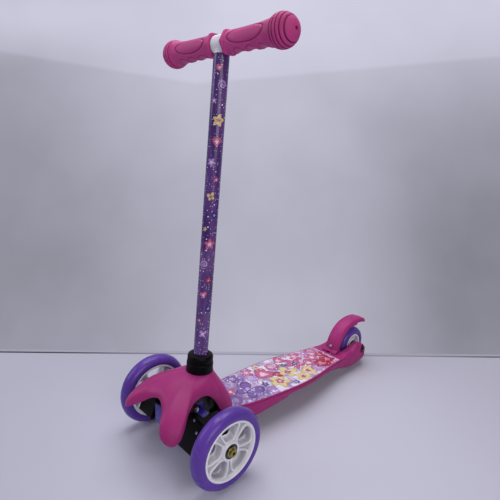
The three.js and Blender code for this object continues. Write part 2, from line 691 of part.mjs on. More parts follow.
/** A plate on the sloping tread: inset from the deck's edge, from low to high above the tread. */
function sheetPlate(inset, low, high, longer) {
  const start = 58 - longer;
  const end = alongDeck(362) + longer;
  const cut = alongDeck(345);
  const shoulder = 40 - inset + longer;
  const side = rounded([[start, treadHeight(start) + low], [end, treadHeight(end) + low],
    [end, treadHeight(end) + high], [start, treadHeight(start) + high]]);
  const plan = solid(extrudeZ(deckPlan(-inset), 0, 90, 1));
  const tail = rounded([[-60, 40], [60, 40], [60, cut - 15], [shoulder, cut, 14], [17 + longer, end, 10],
    [-17 - longer, end, 10], [-shoulder, cut, 14], [-60, cut - 15]]);
  const slice = plan.intersect(solid(extrudeX(side, -REACH, REACH)));
  return surface(slice.intersect(solid(extrudeZ(tail, 0, 90))));
}

// ---------------------------------------------------------------------------------------------
// Brake: a crowned fender over the rear wheel on a cross pin, with a spring and a screw
// ---------------------------------------------------------------------------------------------

/** The fender's path through the middle of its section, from the foot to the tail. */
function fenderPath() {
  const points = [[374.6, 47], [378, 57], [384, 70], [394, 82.5], [409, 93], [428, 98.5], [448, 99.5],
    [464, 97.5], [477, 93.5]];
  const places = points.map(([y, z]) => new THREE.Vector3(0, alongDeck(y), z));
  return new THREE.CatmullRomCurve3(places, false, 'centripetal');
}

function brakeFender() {
  const w = brakeHalfWidth;
  const section = new THREE.Shape();
  section.moveTo(-w, -5.5);
  section.lineTo(-w, -2);
  section.quadraticCurveTo(-w + 0.8, 1.2, 6.5 - w, 2.8);
  section.quadraticCurveTo(0, 4.2, w - 6.5, 2.8);
  section.quadraticCurveTo(w - 0.8, 1.2, w, -2);
  section.lineTo(w, -5.5);
  section.lineTo(w - 2.4, -5.5);
  section.quadraticCurveTo(w - 3.4, -0.6, 0, -0.3);
  section.quadraticCurveTo(3.4 - w, -0.6, 2.4 - w, -5.5);
  section.closePath();
  const band = new THREE.ExtrudeGeometry(section, {
    steps: 11, bevelEnabled: false, curveSegments: 1, extrudePath: fenderPath(),
  });
  // Neck between the deck's cheeks, round about the pivot
  const { y, z } = brakePivot;
  const neck = rounded([[y - 9, z - 8, 7], [y + 9, z - 8, 7], [y + 9, z + 14, 3], [y - 3, z + 14, 2],
    [y - 9, z + 9, 3]]);
  const spine = rounded([[y - 2.5, z + 6, 0], [y + 9, z + 6, 0], [y + 13, z + 27, 3], [y + 2.5, z + 27, 2]]);
  let body = join(solid(band), solid(extrudeX(neck, -brakeNeckHalf, brakeNeckHalf)),
    solid(extrudeX(spine, -10, 10)));
  // Brake pad ribs under the crown
  const padFoot = 2 * rearWheel.radius + brakePad.clearance;
  const pad = rounded([[y + 50, padFoot, 2], [y + 80, padFoot, 2], [y + 80, 100, 0], [y + 50, 100, 0]]);
  body = body.add(solid(extrudeX(pad, -brakePad.half, brakePad.half)));
  const tools = [
    layAlongX(ring(brakePin.radius + gap, 0, -REACH, REACH)).translate(0, y, z),
    block(-6, 6, y - 20, y + 20, z - 10, z + 9),
    brakeScrewPlace(ring(brakeScrewSize.radius + gap, 0, -14, 6)),
    brakeScrewPlace(ring(brakeScrewSize.headRadius + 0.5, 0, 1.2, 9)),
  ];
  return cut(body, ...tools.map(solid));
}

/** Moves a geometry made along Z to the screw's place on the front of the fender's foot. */
function brakeScrewPlace(geometry) {
  return geometry.rotateX(THREE.MathUtils.degToRad(68)).translate(0, brakePivot.y - 1.5, brakePivot.z + 19);
}

function brakeScrew() {
  const body = join(solid(ring(brakeScrewSize.radius, 0, -9, 2)),
    solid(ring(brakeScrewSize.headRadius, 0, 1.5, 3.9)));
  return solid(brakeScrewPlace(surface(body)));
}

/** The torsion spring round the pivot pin, with one leg up the neck and one on the deck. */
function brakeSpring() {
  const { y, z } = brakePivot;
  const inner = brakePin.radius + 0.5;
  const outer = inner + 2.2;
  const coil = layAlongX(ring(outer, inner, -4.5, 4.5)).translate(0, y, z);
  const upLeg = block(2.5, 2.5 + springWire, y + 3, y + 3 + springWire, z, z + 8.6);
  const frontLeg = block(-2.5 - springWire, -2.5, y - 11, y, z - outer + 0.1, z - outer + springWire);
  return cut(join(solid(coil), solid(upLeg), solid(frontLeg)),
    solid(layAlongX(ring(inner, 0, -6, 6)).translate(0, y, z)));
}

// ---------------------------------------------------------------------------------------------
// Shell: a four-legged cover, lofted from the collar to its rim
// ---------------------------------------------------------------------------------------------

/** The rim of the left half, from the front middle to the rear middle: x, y, z. */
function rimPoints() {
  const onDeck = (x, y) => [x, y, treadHeight(y) + gap];
  return [[0, -49, 110], [12, -51.5, 106.5], [24, -59, 98.5], [35, -69, 90.5], [45, -75, 85],
    [56, -74, 79], [63.5, -67.5, 76], [67, -58, 79.5], [63, -46.5, 91], [55, -35, 103],
    [46.5, -21, 109], [41, -5, 111.5], [39.5, 10, 109], [40, 22, 98], [42.5, 32, 79], [46, 38.5, 62],
    [48, 47, 56], [45, 55.5, 57.5], [39, 61, 62.9], onDeck(28, 69), onDeck(14, 75), onDeck(0, 78.5)];
}

function rimCurve() {
  const left = rimPoints();
  const right = left.slice(1, -1).reverse().map(([x, y, z]) => [-x, y, z]);
  const points = [...left, ...right].map((point) => new THREE.Vector3(...point));
  return new THREE.CatmullRomCurve3(points, true, 'centripetal');
}

function frontShell() {
  const rimLine = rimCurve();
  const centreY = stemY(shellNeck.height);
  const outerRows = 7;
  const innerRows = 2;
  const rows = outerRows + innerRows + 4;
  const across = (turn) => {
    const point = rimLine.getPoint(turn);
    const ahead = rimLine.getTangent(turn);
    const inward = new THREE.Vector3(-ahead.y, ahead.x, 0).normalize();
    const radial = new THREE.Vector3(point.x, point.y - centreY, 0);
    return { point, inward, reach: radial.length(), radial: radial.normalize() };
  };
  /** A point on the skin: s runs from the neck (0) to the rim (1), depth is below the outside. */
  const skin = (turn, s, depth) => {
    const { point, inward, reach, radial } = across(turn);
    const neckRadius = shellNeck.ridge - depth * 0.4;
    const neck = stemPoint(radial, neckRadius, shellNeck.height - depth);
    const end = point.clone().addScaledVector(inward, depth);
    const drop = shellNeck.height - point.z;
    const back = Math.max(radial.y, 0); // the skin falls more steeply at the back
    const first = neck.clone().addScaledVector(radial, lerp(0.42, 0.12, back) * (reach - neckRadius));
    first.z -= lerp(0.08, 0.15, back) * drop;
    const second = end.clone();
    second.z += lerp(0.5, 0.3, back) * drop + 4 * (1 - back) - depth * 0.5;
    return new THREE.CubicBezierCurve3(neck, first, second, end).getPoint(s);
  };
  const neckPoint = (turn, radius, height) => stemPoint(across(turn).radial, radius, height);
  const shape = (u, v, target) => {
    const row = Math.round(v * rows);
    const turn = u % 1;
    if (row === 0 || row === rows) target.copy(neckPoint(turn, shellNeck.radius, shellNeck.height));
    else if (row <= outerRows + 1) target.copy(skin(turn, (row - 1) / outerRows, 0));
    else if (row < rows - 1) target.copy(skin(turn, (rows - 2 - row) / innerRows, shellWall));
    else target.copy(neckPoint(turn, shellNeck.radius, shellNeck.height - shellWall));
  };
  return solid(new ParametricGeometry(shape, 44, rows));
}

// ---------------------------------------------------------------------------------------------
// Assembly
// ---------------------------------------------------------------------------------------------

const scooter = new THREE.Group();

function addFrame() {
  scooter.add(piece('deck', deck(), 'pinkPlastic'));
  scooter.add(piece('deck_sheet', sheetPlate(sheetInset, -sheetThickness, 0, 0), 'printedSheet'));
  scooter.add(piece('steering_beam', steeringBeam(), 'bluePlastic'));
  scooter.add(piece('front_shell', frontShell(), 'pinkPlastic'));
  beamBoltPlaces().forEach(([x, y], i) => {
    const head = beam.foot - 2 - gap;
    const bolt = join(solid(ring(beamBolt.radius, 0, head - 1, treadHeight(y) - 1.6 - gap)),
      solid(ring(beamBolt.headRadius, 0, head - beamBolt.headHeight, head)));
    scooter.add(group([x, y, 0], [0, 0, 0], piece(`beam_bolt_${i + 1}`, bolt, 'darkSteel')));
  });
}

function addStem() {
  scooter.add(group([0, stemFootY, 0], [-stemRake, 0, 0],
    piece('collar_socket', collarSocket(), 'blackPlastic'),
    piece('collar_cap', collarCap(), 'blackPlastic'),
    piece('stem_tube', stemTube(), 'purplePaint'),
    piece('lock_button', lockButton(), 'steel'),
    piece('lock_spring', lockSpring(), 'steel'),
    piece('bar_tee', barTee(), 'whitePlastic')));
  const centre = barHeight / Math.cos(stemRake);
  const bar = ring(barRadius, barRadius - tubeWall, -barLength / 2, barLength / 2, 14);
  const handlebar = group([0, stemFootY, 0], [-stemRake, 0, 0],
    group([0, 0, centre], [0, 0, 0], piece('handlebar_tube', layAlongX(bar), 'steel')));
  scooter.add(handlebar);
  for (const [name, side] of SIDES) {
    const body = side > 0 ? gripBody() : mirrored(gripBody());
    scooter.add(group([0, stemFootY, 0], [-stemRake, 0, 0],
      group([0, 0, centre], [0, 0, 0], piece(`grip_${name}`, body, 'pinkRubber'))));
  }
}

function addFrontAxle() {
  for (const [name, side] of SIDES) {
    const handed = (body) => (side > 0 ? body : mirrored(body));
    scooter.add(piece(`knuckle_${name}`, handed(knuckle()), 'blackPlastic'));
    const bush = solid(ring(barrelRadius, kingpinRadius + gap, bushBottom, bushBottom + bushHeight));
    const nutTop = lugBottom - lugHeight - gap;
    scooter.add(group([side * kingpinX, 0, kingpinHeight], [kingpinLean, 0, 0],
      piece(`kingpin_${name}`, kingpinBolt(), 'darkSteel'),
      piece(`kingpin_nut_${name}`,
        nut(kingpinNut.flats, nutTop - kingpinNut.height, nutTop, kingpinRadius + gap), 'steel'),
      piece(`centring_bush_${name}`, bush, 'rubber'),
      piece(`tie_rod_pin_${name}`, solid(surface(tieRodPin()).translate(0, steeringArm, 0)), 'steel')));
    const hub = frontWheel.hubHalf + gap;
    const nutHigh = knuckleWall.inner - frontTrack / 2 - gap;
    scooter.add(group([side * frontTrack / 2, 0, frontWheel.radius], [0, 0, side > 0 ? 0 : Math.PI],
      ...wheelSet(`front_${name}`, frontWheel),
      piece(`front_${name}_axle_bolt`, axleBolt(hub, nutHigh - axleNut.height - 2.2), 'brass'),
      piece(`front_${name}_axle_nut`, nutOnAxle(nutHigh), 'steel')));
  }
  scooter.add(group([kingpinX, 0, kingpinHeight], [kingpinLean, 0, 0],
    piece('tie_rod', tieRodBody(), 'darkSteel')));
}

function addRearWheel() {
  const seat = forkHalfGap + forkCheek;
  const pieces = [...wheelSet('rear', rearWheel),
    piece('rear_axle_bolt', axleBolt(seat + gap, -seat - axleNut.height - 1.7), 'steel'),
    piece('rear_axle_nut', nutOnAxle(-seat - gap), 'steel')];
  for (const [name, side] of SIDES) {
    const sleeve = ring(spacerRadius, axleRadius + gap, rearWheel.hubHalf + gap, forkHalfGap - gap);
    const tube = piece(`rear_spacer_${name}`, layAlongX(sleeve), 'steel');
    tube.rotation.z = side > 0 ? 0 : Math.PI;
    pieces.push(tube);
  }
  scooter.add(group([0, wheelbase, rearWheel.radius], [0, 0, 0], ...pieces));
}

function addBrake() {
  const { y, z } = brakePivot;
  const pin = layAlongX(ring(brakePin.radius, 0, -brakePin.half - 4, brakePin.half)).translate(0, y, z);
  scooter.add(piece('brake_fender', brakeFender(), 'pinkPlastic'));
  scooter.add(piece('brake_pin', pin, 'steel'));
  scooter.add(piece('brake_spring', brakeSpring(), 'steel'));
  scooter.add(piece('brake_screw', brakeScrew(), 'steel'));
}

addFrame();
addStem();
addFrontAxle();
addRearWheel();
addBrake();

// The origin lies under the middle of the bounding box
const bounds = new THREE.Box3().setFromObject(scooter, true);
scooter.position.y = -(bounds.min.y + bounds.max.y) / 2;

export default scooter;
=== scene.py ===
"""A child's three-wheeled kick scooter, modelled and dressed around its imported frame.

Lengths in the classes are millimetres on the scooter: x to its left, y from the front axle towards
the rear wheel, z up from the ground. Layout turns them into metres in the frame.
"""

from __future__ import annotations

import logging
import math
import sys
from contextlib import contextmanager
from dataclasses import dataclass, field
from enum import Enum
from typing import Callable, Iterator, Sequence

import bmesh
import bpy
from mathutils import Matrix, Vector

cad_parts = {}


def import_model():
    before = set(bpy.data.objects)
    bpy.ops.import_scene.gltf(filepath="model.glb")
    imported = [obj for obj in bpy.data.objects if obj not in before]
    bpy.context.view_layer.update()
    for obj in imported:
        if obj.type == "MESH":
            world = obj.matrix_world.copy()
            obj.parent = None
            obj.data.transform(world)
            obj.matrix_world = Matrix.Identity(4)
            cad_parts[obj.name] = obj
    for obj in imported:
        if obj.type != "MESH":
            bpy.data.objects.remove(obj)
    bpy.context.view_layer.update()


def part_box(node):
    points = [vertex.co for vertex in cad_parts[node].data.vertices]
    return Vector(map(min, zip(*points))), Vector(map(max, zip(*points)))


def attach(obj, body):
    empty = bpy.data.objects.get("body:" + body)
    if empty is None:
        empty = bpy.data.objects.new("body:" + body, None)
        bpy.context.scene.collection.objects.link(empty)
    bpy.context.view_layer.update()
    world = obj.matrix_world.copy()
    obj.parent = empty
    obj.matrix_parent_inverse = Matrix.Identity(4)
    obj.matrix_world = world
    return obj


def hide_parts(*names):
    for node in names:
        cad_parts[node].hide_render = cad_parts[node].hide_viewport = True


MM = 0.001
TAU = 2.0 * math.pi
WELD = 2e-6
ACROSS = Vector((1.0, 0.0, 0.0))
UP = Vector((0.0, 0.0, 1.0))
Piece = bpy.types.Object
Material = bpy.types.Material
Node = bpy.types.Node
Socket = bpy.types.NodeSocket
Point = tuple[float, float]
Corner = tuple[float, float, float]
log = logging.getLogger("scooter")


# Where things are

class Side(Enum):
    """The scooter's two sides, as the sign of x."""

    LEFT = 1
    RIGHT = -1

    @property
    def word(self) -> str:
        """The side's name in node names."""
        return self.name.lower()


@dataclass(frozen=True)
class Layout:
    """Places on the scooter, in millimetres, turned into metres in the frame."""

    axle_y: float
    stem_rake: float = math.radians(4.57)
    stem_foot: float = 14.5
    bar_height: float = 600.8
    kingpin_x: float = 36.0
    kingpin_z: float = 70.0
    kingpin_lean: float = math.radians(25.0)
    tread_datum: float = 190.0
    tread_z: float = 53.86
    tread_slope: float = 0.0643

    @staticmethod
    def measured() -> Layout:
        """Reads the front axle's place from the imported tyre.

        Returns:
            The layout of this scooter.
        """
        low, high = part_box("front_left_tyre")
        return Layout(axle_y=(low.y + high.y) / 2.0)

    def at(self, x: float, y: float, z: float) -> Vector:
        """A point on the scooter."""
        return Vector((x * MM, y * MM + self.axle_y, z * MM))

    def on_stem(self, x: float, y: float, z: float) -> Vector:
        """A point given about the raked stem's own axis, z along it from the ground."""
        turned = Matrix.Rotation(-self.stem_rake, 3, "X") @ Vector((x, y, z))
        return self.at(turned.x, turned.y + self.stem_foot, turned.z)

    def on_kingpin(self, side: Side, x: float, y: float, z: float) -> Vector:
        """A point given about a leaned kingpin, x outwards and z along it."""
        turned = Matrix.Rotation(self.kingpin_lean, 3, "X") @ Vector((x, y, z))
        return self.at(side.value * (turned.x + self.kingpin_x), turned.y, turned.z + self.kingpin_z)

    @property
    def bar_station(self) -> float:
        """How far along the stem's axis the handlebar crosses it."""
        return self.bar_height / math.cos(self.stem_rake)

    @property
    def bar_middle(self) -> Vector:
        """The handlebar's middle."""
        return self.on_stem(0.0, 0.0, self.bar_station)

    @property
    def stem_axis(self) -> Vector:
        """The direction of the stem, upwards."""
        return Matrix.Rotation(-self.stem_rake, 3, "X") @ UP

    @property
    def kingpin_axis(self) -> Vector:
        """The direction of both kingpins, upwards."""
        return Matrix.Rotation(self.kingpin_lean, 3, "X") @ UP

    def tread(self, y: float) -> float:
        """The height of the sloping tread at a place along the deck."""
        return self.tread_z - self.tread_slope * (y - self.tread_datum)


# Modelling by hand

class Joining(Enum):
    """How one closed form is worked into another."""

    CUT = "DIFFERENCE"
    UNITE = "UNION"
    KEEP = "INTERSECT"


def clear_selection() -> None:
    """Leaves edit mode and deselects everything."""
    if bpy.context.object is not None and bpy.context.object.mode != "OBJECT":
        bpy.ops.object.mode_set(mode="OBJECT")
    bpy.ops.object.select_all(action="DESELECT")


def select_only(piece: Piece) -> None:
    """Selects one object and makes it active.

    Args:
        piece: The object.
    """
    clear_selection()
    piece.select_set(True)
    bpy.context.view_layer.objects.active = piece


@contextmanager
def editing(piece: Piece) -> Iterator[None]:
    """Puts one object in edit mode for a while, with all of it selected.

    Args:
        piece: The object.

    Yields:
        Nothing, while it is in edit mode.
    """
    select_only(piece)
    bpy.ops.object.mode_set(mode="EDIT")
    bpy.ops.mesh.select_all(action="SELECT")
    yield
    bpy.ops.object.mode_set(mode="OBJECT")


def tidy_mesh(piece: Piece, caps: bool = False) -> None:
    """Merges doubled points, closes open ends if asked, and turns the faces outwards.

    Args:
        piece: The object to tidy.
        caps: Whether open edge loops are filled.
    """
    with editing(piece):
        bpy.ops.mesh.remove_doubles(threshold=WELD)
        bpy.ops.mesh.delete_loose(use_verts=True, use_edges=True, use_faces=False)
        bpy.ops.mesh.select_all(action="SELECT")
        if caps:
            bpy.ops.mesh.fill_holes(sides=0)
            bpy.ops.mesh.select_all(action="SELECT")
        bpy.ops.mesh.normals_make_consistent(inside=False)
        if bmesh.from_edit_mesh(piece.data).calc_volume(signed=True) < 0.0:
            bpy.ops.mesh.flip_normals()


def bridge_edges(piece: Piece) -> None:
    """Joins a surface's two open edges, so that it becomes one closed wall.

    Args:
        piece: The object.
    """
    with editing(piece):
        bpy.ops.mesh.select_all(action="DESELECT")
        bpy.ops.mesh.select_non_manifold()
        bpy.ops.mesh.bridge_edge_loops()
        bpy.ops.mesh.select_all(action="SELECT")
        bpy.ops.mesh.normals_make_consistent(inside=False)


def skin(name: str, surface: Callable[[float, float], Vector], across: int, along: int, caps: bool = False) -> Piece:
    """Bends a grid into a surface and welds its meeting edges.

    Args:
        name: The new object's name.
        surface: Gives the place of a point from its two shares, each 0 to 1.
        across: Faces along the first share.
        along: Faces along the second.
        caps: Whether open ends are closed.

    Returns:
        The new object.
    """
    clear_selection()
    bpy.ops.mesh.primitive_grid_add(x_subdivisions=across, y_subdivisions=along, size=1.0)
    piece = bpy.context.object
    piece.name = name
    for vertex in piece.data.vertices:
        vertex.co = surface(vertex.co.x + 0.5, vertex.co.y + 0.5)
    tidy_mesh(piece, caps)
    return piece


def loft(name: str, rows: Sequence[Sequence[Vector]], caps: bool = False) -> Piece:
    """A skin through closed rings of points.

    Args:
        name: The new object's name.
        rows: The rings, all with the same number of points.
        caps: Whether open ends are closed.

    Returns:
        The new object.
    """
    count, last = len(rows[0]), len(rows) - 1
    return skin(name, lambda turn, along: rows[round(along * last)][round(turn * count) % count], count, last, caps)


def outlined(name: str, places: Sequence[Vector], fill: str) -> Piece:
    """A closed outline through some places.

    Args:
        name: The new object's name.
        places: Its points, in the frame.
        fill: What is inside it: "NGON" or "NOTHING".

    Returns:
        The new object.
    """
    clear_selection()
    bpy.ops.mesh.primitive_circle_add(vertices=len(places), radius=1.0, fill_type=fill)
    piece = bpy.context.object
    piece.name = name
    for vertex, place in zip(piece.data.vertices, places):
        vertex.co = place
    return piece


def turned(name: str, outline: Sequence[Point], centre: Vector, axis: Vector, steps: int = 64) -> Piece:
    """Spins a closed outline a full turn.

    Args:
        name: The new object's name.
        outline: Corners as (radius, distance along the axis) in millimetres.
        centre: The axis passes through this point, where its distance is zero.
        axis: The axis direction.
        steps: Faces round the turn.

    Returns:
        The new object.
    """
    axis = axis.normalized()
    side = axis.orthogonal().normalized()
    places = [centre + (axis * height + side * radius) * MM for radius, height in outline]
    piece = outlined(name, places, "NOTHING")
    with editing(piece):
        bpy.ops.mesh.spin(steps=steps, angle=TAU, center=centre, axis=axis)
    tidy_mesh(piece)
    return piece


def cylinder(centre: Vector, axis: Vector, radius: float, low: float, high: float, steps: int) -> Piece:
    """A plain cylinder to work into a piece.

    Args:
        centre: A point on its axis, where the distance along it is zero.
        axis: The axis direction.
        radius: Its radius in millimetres.
        low: Where it starts along the axis.
        high: Where it ends.
        steps: Faces round it.

    Returns:
        The new object.
    """
    return turned("cylinder", [(0.0, low), (radius, low), (radius, high), (0.0, high)], centre, axis, steps)


def prism(name: str, corners: Sequence[Vector], sweep: Vector) -> Piece:
    """Extrudes a flat closed outline.

    Args:
        name: The new object's name.
        corners: The outline's points, in the frame.
        sweep: How far and which way it is extruded.

    Returns:
        The new object.
    """
    piece = outlined(name, corners, "NGON")
    with editing(piece):
        bpy.ops.mesh.extrude_region_move(TRANSFORM_OT_translate={"value": sweep})
    tidy_mesh(piece)
    return piece


def box(low: Vector, high: Vector) -> Piece:
    """A rectangular block between its lowest and its highest corner."""
    corners = [Vector((x, y, low.z)) for x, y in ((low.x, low.y), (high.x, low.y), (high.x, high.y), (low.x, high.y))]
    return prism("block", corners, UP * (high.z - low.z))


def apply(piece: Piece, kind: str, **settings: object) -> None:
    """Adds a modifier to a piece and applies it.

    Args:
        piece: The piece.
        kind: The modifier's type.
        settings: Its properties.
    """
    modifier = piece.modifiers.new("work", kind)
    for key, value in settings.items():
        setattr(modifier, key, value)
    select_only(piece)
    bpy.ops.object.modifier_apply(modifier=modifier.name)


def combine(piece: Piece, how: Joining, *tools: Piece) -> None:
    """Works tools into a piece, one after another, and removes them.

    Args:
        piece: The piece that stays.
        how: Whether they are cut, united or kept.
        tools: The closed forms.
    """
    for tool in tools:
        apply(piece, "BOOLEAN", operation=how.value, object=tool, solver="MANIFOLD")
        bpy.data.objects.remove(tool)


def soften(piece: Piece, width: float, segments: int = 2) -> None:
    """Rounds the sharp edges of a piece.

    Args:
        piece: The piece.
        width: The rounding in millimetres.
        segments: Faces across each rounding.
    """
    apply(piece, "BEVEL", width=width * MM, segments=segments, limit_method="ANGLE",
          angle_limit=math.radians(32.0), use_clamp_overlap=True)


def smooth(piece: Piece, angle: float = 38.0) -> None:
    """Shades a piece smooth, apart from its edges sharper than an angle in degrees."""
    select_only(piece)
    bpy.ops.object.shade_smooth_by_angle(angle=math.radians(angle))


def reworked_node(node: str, width: float) -> Piece:
    """A welded copy of a frame node with its edges rounded.

    Args:
        node: The frame's node.
        width: The rounding in millimetres.

    Returns:
        The new piece.
    """
    piece = bpy.data.objects.new(f"{node}_plated", bpy.data.objects[node].data.copy())
    bpy.context.scene.collection.objects.link(piece)
    with editing(piece):
        bpy.ops.mesh.remove_doubles(threshold=WELD)
        bpy.ops.mesh.dissolve_limited(angle_limit=math.radians(1.5))
    soften(piece, width)
    return piece


def hexagon(flats: float) -> list[Point]:
    """The corners of a hexagon about zero.

    Args:
        flats: Its width across the flats.

    Returns:
        Six corners.
    """
    radius = flats / math.sqrt(3.0)
    return [(radius * math.cos(TAU * i / 6), radius * math.sin(TAU * i / 6)) for i in range(6)]


def arc(centre: Point, reach: Point, steps: int) -> list[Point]:
    """Points along a quarter of an upright ellipse, from its side to its top, ends included."""
    angles = [math.pi / 2 * i / steps for i in range(steps + 1)]
    return [(centre[0] + reach[0] * math.cos(a), centre[1] + reach[1] * math.sin(a)) for a in angles]


def mirrored(half: Sequence[Point], *middle: Point) -> list[Point]:
    """An outline from its first half, what lies between, and the same half on the other side of zero."""
    return [*half, *middle, *((across, -along) for across, along in reversed(half))]


def filleted(corners: Sequence[Corner], steps: int = 6) -> list[Point]:
    """Rounds the corners of a closed outline.

    Args:
        corners: Each corner as (x, y, reach of its rounding).
        steps: Points along each rounding.

    Returns:
        The rounded outline.
    """
    outline = []
    count = len(corners)
    for i, (x, y, reach) in enumerate(corners):
        here = Vector((x, y))
        before = Vector(corners[i - 1][:2]) - here
        after = Vector(corners[(i + 1) % count][:2]) - here
        size = min(reach, before.length / 2.02, after.length / 2.02)
        if size <= 0.0:
            outline.append((x, y))
            continue
        start, end = here + before.normalized() * size, here + after.normalized() * size
        for step in range(steps + 1):
            share = step / steps
            point = start * (1 - share) ** 2 + here * 2 * share * (1 - share) + end * share**2
            outline.append((point.x, point.y))
    return outline


def spline(points: Sequence[Sequence[float]], closed: bool = False) -> Callable[[float], Vector]:
    """A smooth curve through points, each stretch as long in the share as it is in space.

    Args:
        points: The points, all with the same number of values.
        closed: Whether the curve returns to its start.

    Returns:
        A function from a share of the curve, 0 to 1, to a point.
    """
    places = [Vector(point) for point in points]
    count = len(places)
    spans = count if closed else count - 1

    def place(i: int) -> Vector:
        """The point at a number, which may lie past either end.

        Args:
            i: The number.

        Returns:
            The point.
        """
        if closed:
            return places[i % count]
        if i < 0:
            return places[0] * 2 - places[1]
        return places[-1] * 2 - places[-2] if i >= count else places[i]

    def curve(share: float) -> Vector:
        """The curve's point at a share of it.

        Args:
            share: How far along, from 0 to 1.

        Returns:
            The point.
        """
        scaled = (share % 1.0 if closed else min(max(share, 0.0), 1.0)) * spans
        i = min(int(scaled), spans - 1)
        p = [place(i + step) for step in (-1, 0, 1, 2)]
        k = [0.0]
        for near, far in zip(p, p[1:]):
            k.append(k[-1] + max((far - near).length, 1e-9) ** 0.5)
        u = k[1] + (scaled - i) * (k[2] - k[1])

        def mixed(near: Vector, far: Vector, low: float, high: float) -> Vector:
            """A point between two, for their knots."""
            return near * ((high - u) / (high - low)) + far * ((u - low) / (high - low))

        a = [mixed(p[j], p[j + 1], k[j], k[j + 1]) for j in range(3)]
        b = [mixed(a[j], a[j + 1], k[j], k[j + 2]) for j in range(2)]
        return mixed(b[0], b[1], k[1], k[2])

    return curve


def profile(points: Sequence[Point]) -> Callable[[float], float]:
    """A smooth height above a run of places.

    Args:
        points: Place and height, with the places rising.

    Returns:
        A function from a place to its height, held level past both ends.
    """
    line = spline(points)
    table = [line(i / 300) for i in range(301)]

    def height(place: float) -> float:
        """The height at one place.

        Args:
            place: Where.

        Returns:
            The height.
        """
        if place <= table[0].x:
            return table[0].y
        for low, high in zip(table, table[1:]):
            if place <= high.x:
                return low.y + (high.y - low.y) * (place - low.x) / max(high.x - low.x, 1e-9)
        return table[-1].y

    return height


def bump(x: float, width: float) -> float:
    """A smooth hump, 1 at zero and 0 beyond the width."""
    share = min(abs(x) / width, 1.0)
    return (1.0 - share * share) ** 2


def ramp(x: float, low: float, high: float) -> float:
    """A smooth step from 0 at low to 1 at high."""
    share = min(max((x - low) / (high - low), 0.0), 1.0)
    return share * share * (3.0 - 2.0 * share)


# Finishes

def linear(code: str) -> tuple[float, float, float, float]:
    """Turns a web colour into the shader's colour values.

    Args:
        code: The colour, such as "b24480".

    Returns:
        Red, green, blue and full opacity.
    """
    values = [int(code[i : i + 2], 16) / 255.0 for i in (0, 2, 4)]
    return (*(v / 12.92 if v <= 0.04045 else ((v + 0.055) / 1.055) ** 2.4 for v in values), 1.0)


class Wiring:
    """Adds nodes to one node tree and links them."""

    def __init__(self, tree: bpy.types.NodeTree) -> None:
        """Takes the tree that the nodes go into."""
        self.tree = tree

    def fill(self, node: Node, feeds: dict[str | int, object]) -> None:
        """Links or sets several of a node's inputs.

        Args:
            node: The node.
            feeds: What goes into its inputs, by name or number.
        """
        for key, value in feeds.items():
            if isinstance(value, Socket):
                self.tree.links.new(value, node.inputs[key])
            else:
                node.inputs[key].default_value = value

    def node(self, kind: str, feeds: dict[str | int, object], **settings: object) -> Node:
        """Adds a node.

        Args:
            kind: The node's type name, after its usual start.
            feeds: What goes into its inputs, by name or number.
            settings: Its properties.

        Returns:
            The new node.
        """
        node = self.tree.nodes.new(f"ShaderNode{kind}")
        for key, value in settings.items():
            setattr(node, key, value)
        self.fill(node, feeds)
        return node

    def maths(self, operation: str, *values: object) -> Socket:
        """A math node's result, from sockets or numbers."""
        return self.node("Math", dict(enumerate(values)), operation=operation).outputs[0]

    def vector(self, operation: str, *values: object) -> Node:
        """A vector math node, from sockets or vectors."""
        return self.node("VectorMath", dict(enumerate(values)), operation=operation)

    def mix(self, share: object, low: object, high: object) -> Socket:
        """A colour between two: a share of 0 gives the first and 1 the second."""
        return self.node("Mix", {0: share, 6: low, 7: high}, data_type="RGBA").outputs[2]

    def scale(self, value: object, low: float, high: float, to_low: float = 0.0, to_high: float = 1.0) -> Socket:
        """Maps a value smoothly from one range to another.

        Args:
            value: The value's socket.
            low: Its lowest input.
            high: Its highest input.
            to_low: The result at the lowest.
            to_high: The result at the highest.

        Returns:
            The mapped value socket.
        """
        feeds = dict(enumerate((value, low, high, to_low, to_high)))
        return self.node("MapRange", feeds, interpolation_type="SMOOTHSTEP").outputs[0]

    def noise(self, place: object, size: object, detail: float = 2.0) -> Socket:
        """Cloudy noise, from a place, its features per metre and its octaves of finer noise."""
        return self.node("TexNoise", {"Vector": place, "Scale": size, "Detail": detail}).outputs["Fac"]

    def place(self) -> Socket:
        """The shaded point's place in the frame, in metres."""
        return self.node("TexCoord", {}).outputs["Object"]

    def split(self, place: object) -> Sequence[Socket]:
        """A vector's three parts."""
        return self.node("SeparateXYZ", {0: place}).outputs

    def flat(self, x: object, y: object) -> Socket:
        """A flat vector of two parts."""
        return self.node("CombineXYZ", {0: x, 1: y}).outputs[0]


def new_group(name: str, inputs: dict[str, object], *outputs: str) -> tuple[Wiring, Sequence[Socket], Node]:
    """Starts a shader node group.

    Args:
        name: The group's name.
        inputs: Each input's name and default, with none for a vector.
        outputs: The names of the values that it gives.

    Returns:
        Its wiring, the sockets that bring its inputs, and its output node.
    """
    tree = bpy.data.node_groups.new(name, "ShaderNodeTree")
    for label, value in inputs.items():
        kind = "NodeSocketVector" if value is None else "NodeSocketFloat"
        socket = tree.interface.new_socket(name=label, in_out="INPUT", socket_type=kind)
        if value is not None:
            socket.default_value = value
    for label in outputs:
        tree.interface.new_socket(name=label, in_out="OUTPUT", socket_type="NodeSocketFloat")
    return Wiring(tree), tree.nodes.new("NodeGroupInput").outputs, tree.nodes.new("NodeGroupOutput")


def new_material(name: str) -> tuple[Material, Wiring, Node]:
    """Starts a material.

    Args:
        name: Its name.

    Returns:
        The material, its wiring and its shader.
    """
    material = bpy.data.materials.new(name)
    material.use_nodes = True
    return material, Wiring(material.node_tree), material.node_tree.nodes["Principled BSDF"]


